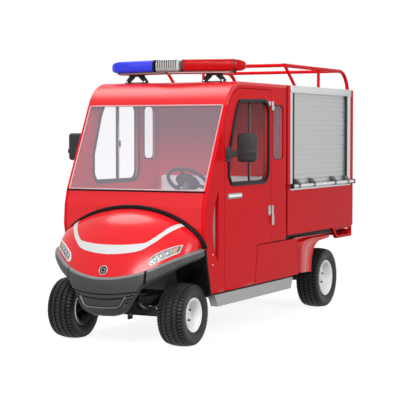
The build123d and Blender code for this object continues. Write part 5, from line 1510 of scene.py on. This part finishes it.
def fill_pad(pad, cap):
    """Swells a pad with cloth pressure and holds every point within cap of where it began."""
    scene = bpy.context.scene
    remesh = pad.modifiers.new("even_faces", "REMESH")
    remesh.mode = "VOXEL"
    remesh.voxel_size = 0.006
    bake_modifiers(pad)
    start = np.empty(len(pad.data.vertices) * 3)
    pad.data.vertices.foreach_get("co", start)
    cloth = pad.modifiers.new("pressure", "CLOTH")
    cloth.settings.use_pressure = True
    cloth.settings.uniform_pressure_force = 4.0
    cloth.settings.quality = 4
    cloth.settings.effector_weights.gravity = 0.0
    cloth.point_cache.frame_start = 1
    cloth.point_cache.frame_end = CLOTH_FRAMES
    for step in range(1, CLOTH_FRAMES + 1):
        scene.frame_set(step)
    bake_modifiers(pad)
    scene.frame_set(1)
    end = np.empty_like(start)
    pad.data.vertices.foreach_get("co", end)
    move = (end - start).reshape(-1, 3)
    far = np.maximum(np.linalg.norm(move, axis=1, keepdims=True), 1e-9)
    held = start.reshape(-1, 3) + move * np.minimum(1.0, cap / far)
    pad.data.vertices.foreach_set("co", held.ravel())
    pad.data.polygons.foreach_set("use_smooth", [True] * len(pad.data.polygons))
    pad.data.update()


def bake_modifiers(target):
    """Puts the result of a piece's modifiers into its own mesh."""
    graph = bpy.context.evaluated_depsgraph_get()
    done = bpy.data.meshes.new_from_object(target.evaluated_get(graph))
    target.modifiers.clear()
    old = target.data
    target.data = done
    bpy.data.meshes.remove(old)


# Stage

FLOOR_REACH = 60.0
CAMERA_PLACE = (5.0519, -8.7879 + FRONT_AXLE, 1.532)
LAMPS = (
    # name, place, aim, size, share of the key light's power
    ("key_light", (1.5, -7.2, 4.0), (0.0, -0.6, 0.9), 3.0, 1.0),
    ("side_light", (6.5, -1.0, 3.6), (0.0, 0.2, 0.9), 3.2, 0.50),
    ("top_light", (-2.2, -0.4, 6.0), (0.0, -0.2, 1.0), 3.0, 0.35),
)


def backdrop_strength(tree, unseen, seen):
    """A strength that is seen for camera, glossy and transmission rays and unseen for light on the object."""
    rays = add(tree, "LightPath").outputs
    direct = math_node(tree, "MAXIMUM", rays["Is Camera Ray"], rays["Is Transmission Ray"])
    level = add(tree, "MapRange", To_Min=unseen, To_Max=seen)
    tree.links.new(math_node(tree, "MAXIMUM", direct, rays["Is Glossy Ray"]), level.inputs["Value"])
    return level.outputs[0]


class FIRETRUCK_OT_stage(bpy.types.Operator):
    """Sets the floor, the soft lights, the white surround and the camera"""

    bl_idname = "firetruck.stage"
    bl_label = "Stage"

    def execute(self, context):
        scene = context.scene
        stage = scene.truck_stage
        scene.view_settings.view_transform = "Standard"
        mesh = bpy.data.meshes.new("studio_floor")
        corners = on_side(rectangle((0, 0), (2 * FLOOR_REACH, 2 * FLOOR_REACH)), 0.0)[:, [1, 2, 0]]
        mesh.from_pydata(corners.tolist(), [], [[0, 1, 2, 3]])
        ground = bpy.data.objects.new("studio_floor", mesh)
        scene.collection.objects.link(ground)
        pale = bpy.data.materials.new("pale_floor")
        pale.use_nodes = True
        tree = pale.node_tree
        shader = tree.nodes["Principled BSDF"].inputs
        shader["Base Color"].default_value = (0.3, 0.3, 0.3, 1)
        shader["Roughness"].default_value = 0.9
        shader["Specular IOR Level"].default_value = 0.0
        shader["Emission Color"].default_value = (1, 1, 1, 1)
        tree.links.new(backdrop_strength(tree, 0.0, stage.floor_glow), shader["Emission Strength"])
        mesh.materials.append(pale)

        world = bpy.data.worlds.new("white_surround")
        scene.world = world
        world.use_nodes = True
        tree = world.node_tree
        background = tree.nodes["Background"].inputs
        background["Color"].default_value = (1, 1, 1, 1)
        tree.links.new(backdrop_strength(tree, stage.ambient, 1.0), background["Strength"])

        for name, place, aim, size, share in LAMPS:
            light = bpy.data.lights.new(name, "AREA")
            light.shape = "DISK"
            light.size = size
            light.energy = share * stage.key
            lamp = bpy.data.objects.new(name, light)
            lamp.location = place
            lamp.rotation_euler = (Vector(aim) - Vector(place)).to_track_quat("-Z", "Y").to_euler()
            scene.collection.objects.link(lamp)

        camera = bpy.data.objects.new("photo_camera", bpy.data.cameras.new("photo_camera"))
        camera.data.lens = stage.lens
        camera.data.sensor_width = 36.0
        camera.data.clip_end = 200.0
        camera.location = CAMERA_PLACE
        camera.rotation_euler = (math.radians(90.0 - stage.dip), 0.0, math.radians(stage.turn))
        scene.collection.objects.link(camera)
        scene.camera = camera
        return {"FINISHED"}


OPERATORS = (
    FIRETRUCK_OT_finishes,
    FIRETRUCK_OT_tyres,
    FIRETRUCK_OT_rims,
    FIRETRUCK_OT_hood,
    FIRETRUCK_OT_headlamps,
    FIRETRUCK_OT_bumper,
    FIRETRUCK_OT_window_seals,
    FIRETRUCK_OT_door_fittings,
    FIRETRUCK_OT_cab_liners,
    FIRETRUCK_OT_light_bar,
    FIRETRUCK_OT_shutters,
    FIRETRUCK_OT_fenders,
    FIRETRUCK_OT_tail_lamps,
    FIRETRUCK_OT_bench,
    FIRETRUCK_OT_stage,
)


class FIRETRUCK_PT_panel(bpy.types.Panel):
    """Lists the sizes, colours and makers of the truck"""

    bl_idname = "FIRETRUCK_PT_panel"
    bl_label = "Fire truck"
    bl_space_type = "VIEW_3D"
    bl_region_type = "UI"
    bl_category = "Fire truck"

    def draw(self, context):
        for group in (context.scene.truck_paint, context.scene.truck_sizes, context.scene.truck_stage):
            box = self.layout.box()
            for name in group.__annotations__:
                box.prop(group, name)
        for operator in OPERATORS:
            self.layout.operator(operator.bl_idname)


CLASSES = (TruckPaint, TruckSizes, TruckStage, *OPERATORS, FIRETRUCK_PT_panel)


def register():
    """Makes the classes and settings known to Blender."""
    for cls in CLASSES:
        bpy.utils.register_class(cls)
    bpy.types.Scene.truck_paint = PointerProperty(type=TruckPaint)
    bpy.types.Scene.truck_sizes = PointerProperty(type=TruckSizes)
    bpy.types.Scene.truck_stage = PointerProperty(type=TruckStage)


def unregister():
    """Takes the classes and settings out again."""
    del bpy.types.Scene.truck_stage
    del bpy.types.Scene.truck_sizes
    del bpy.types.Scene.truck_paint
    for cls in reversed(CLASSES):
        bpy.utils.unregister_class(cls)


def main():
    """Runs every maker in order."""
    register()
    for operator in OPERATORS:
        getattr(bpy.ops.firetruck, operator.bl_idname.split(".")[1])()


if __name__ == "__main__":
    main()
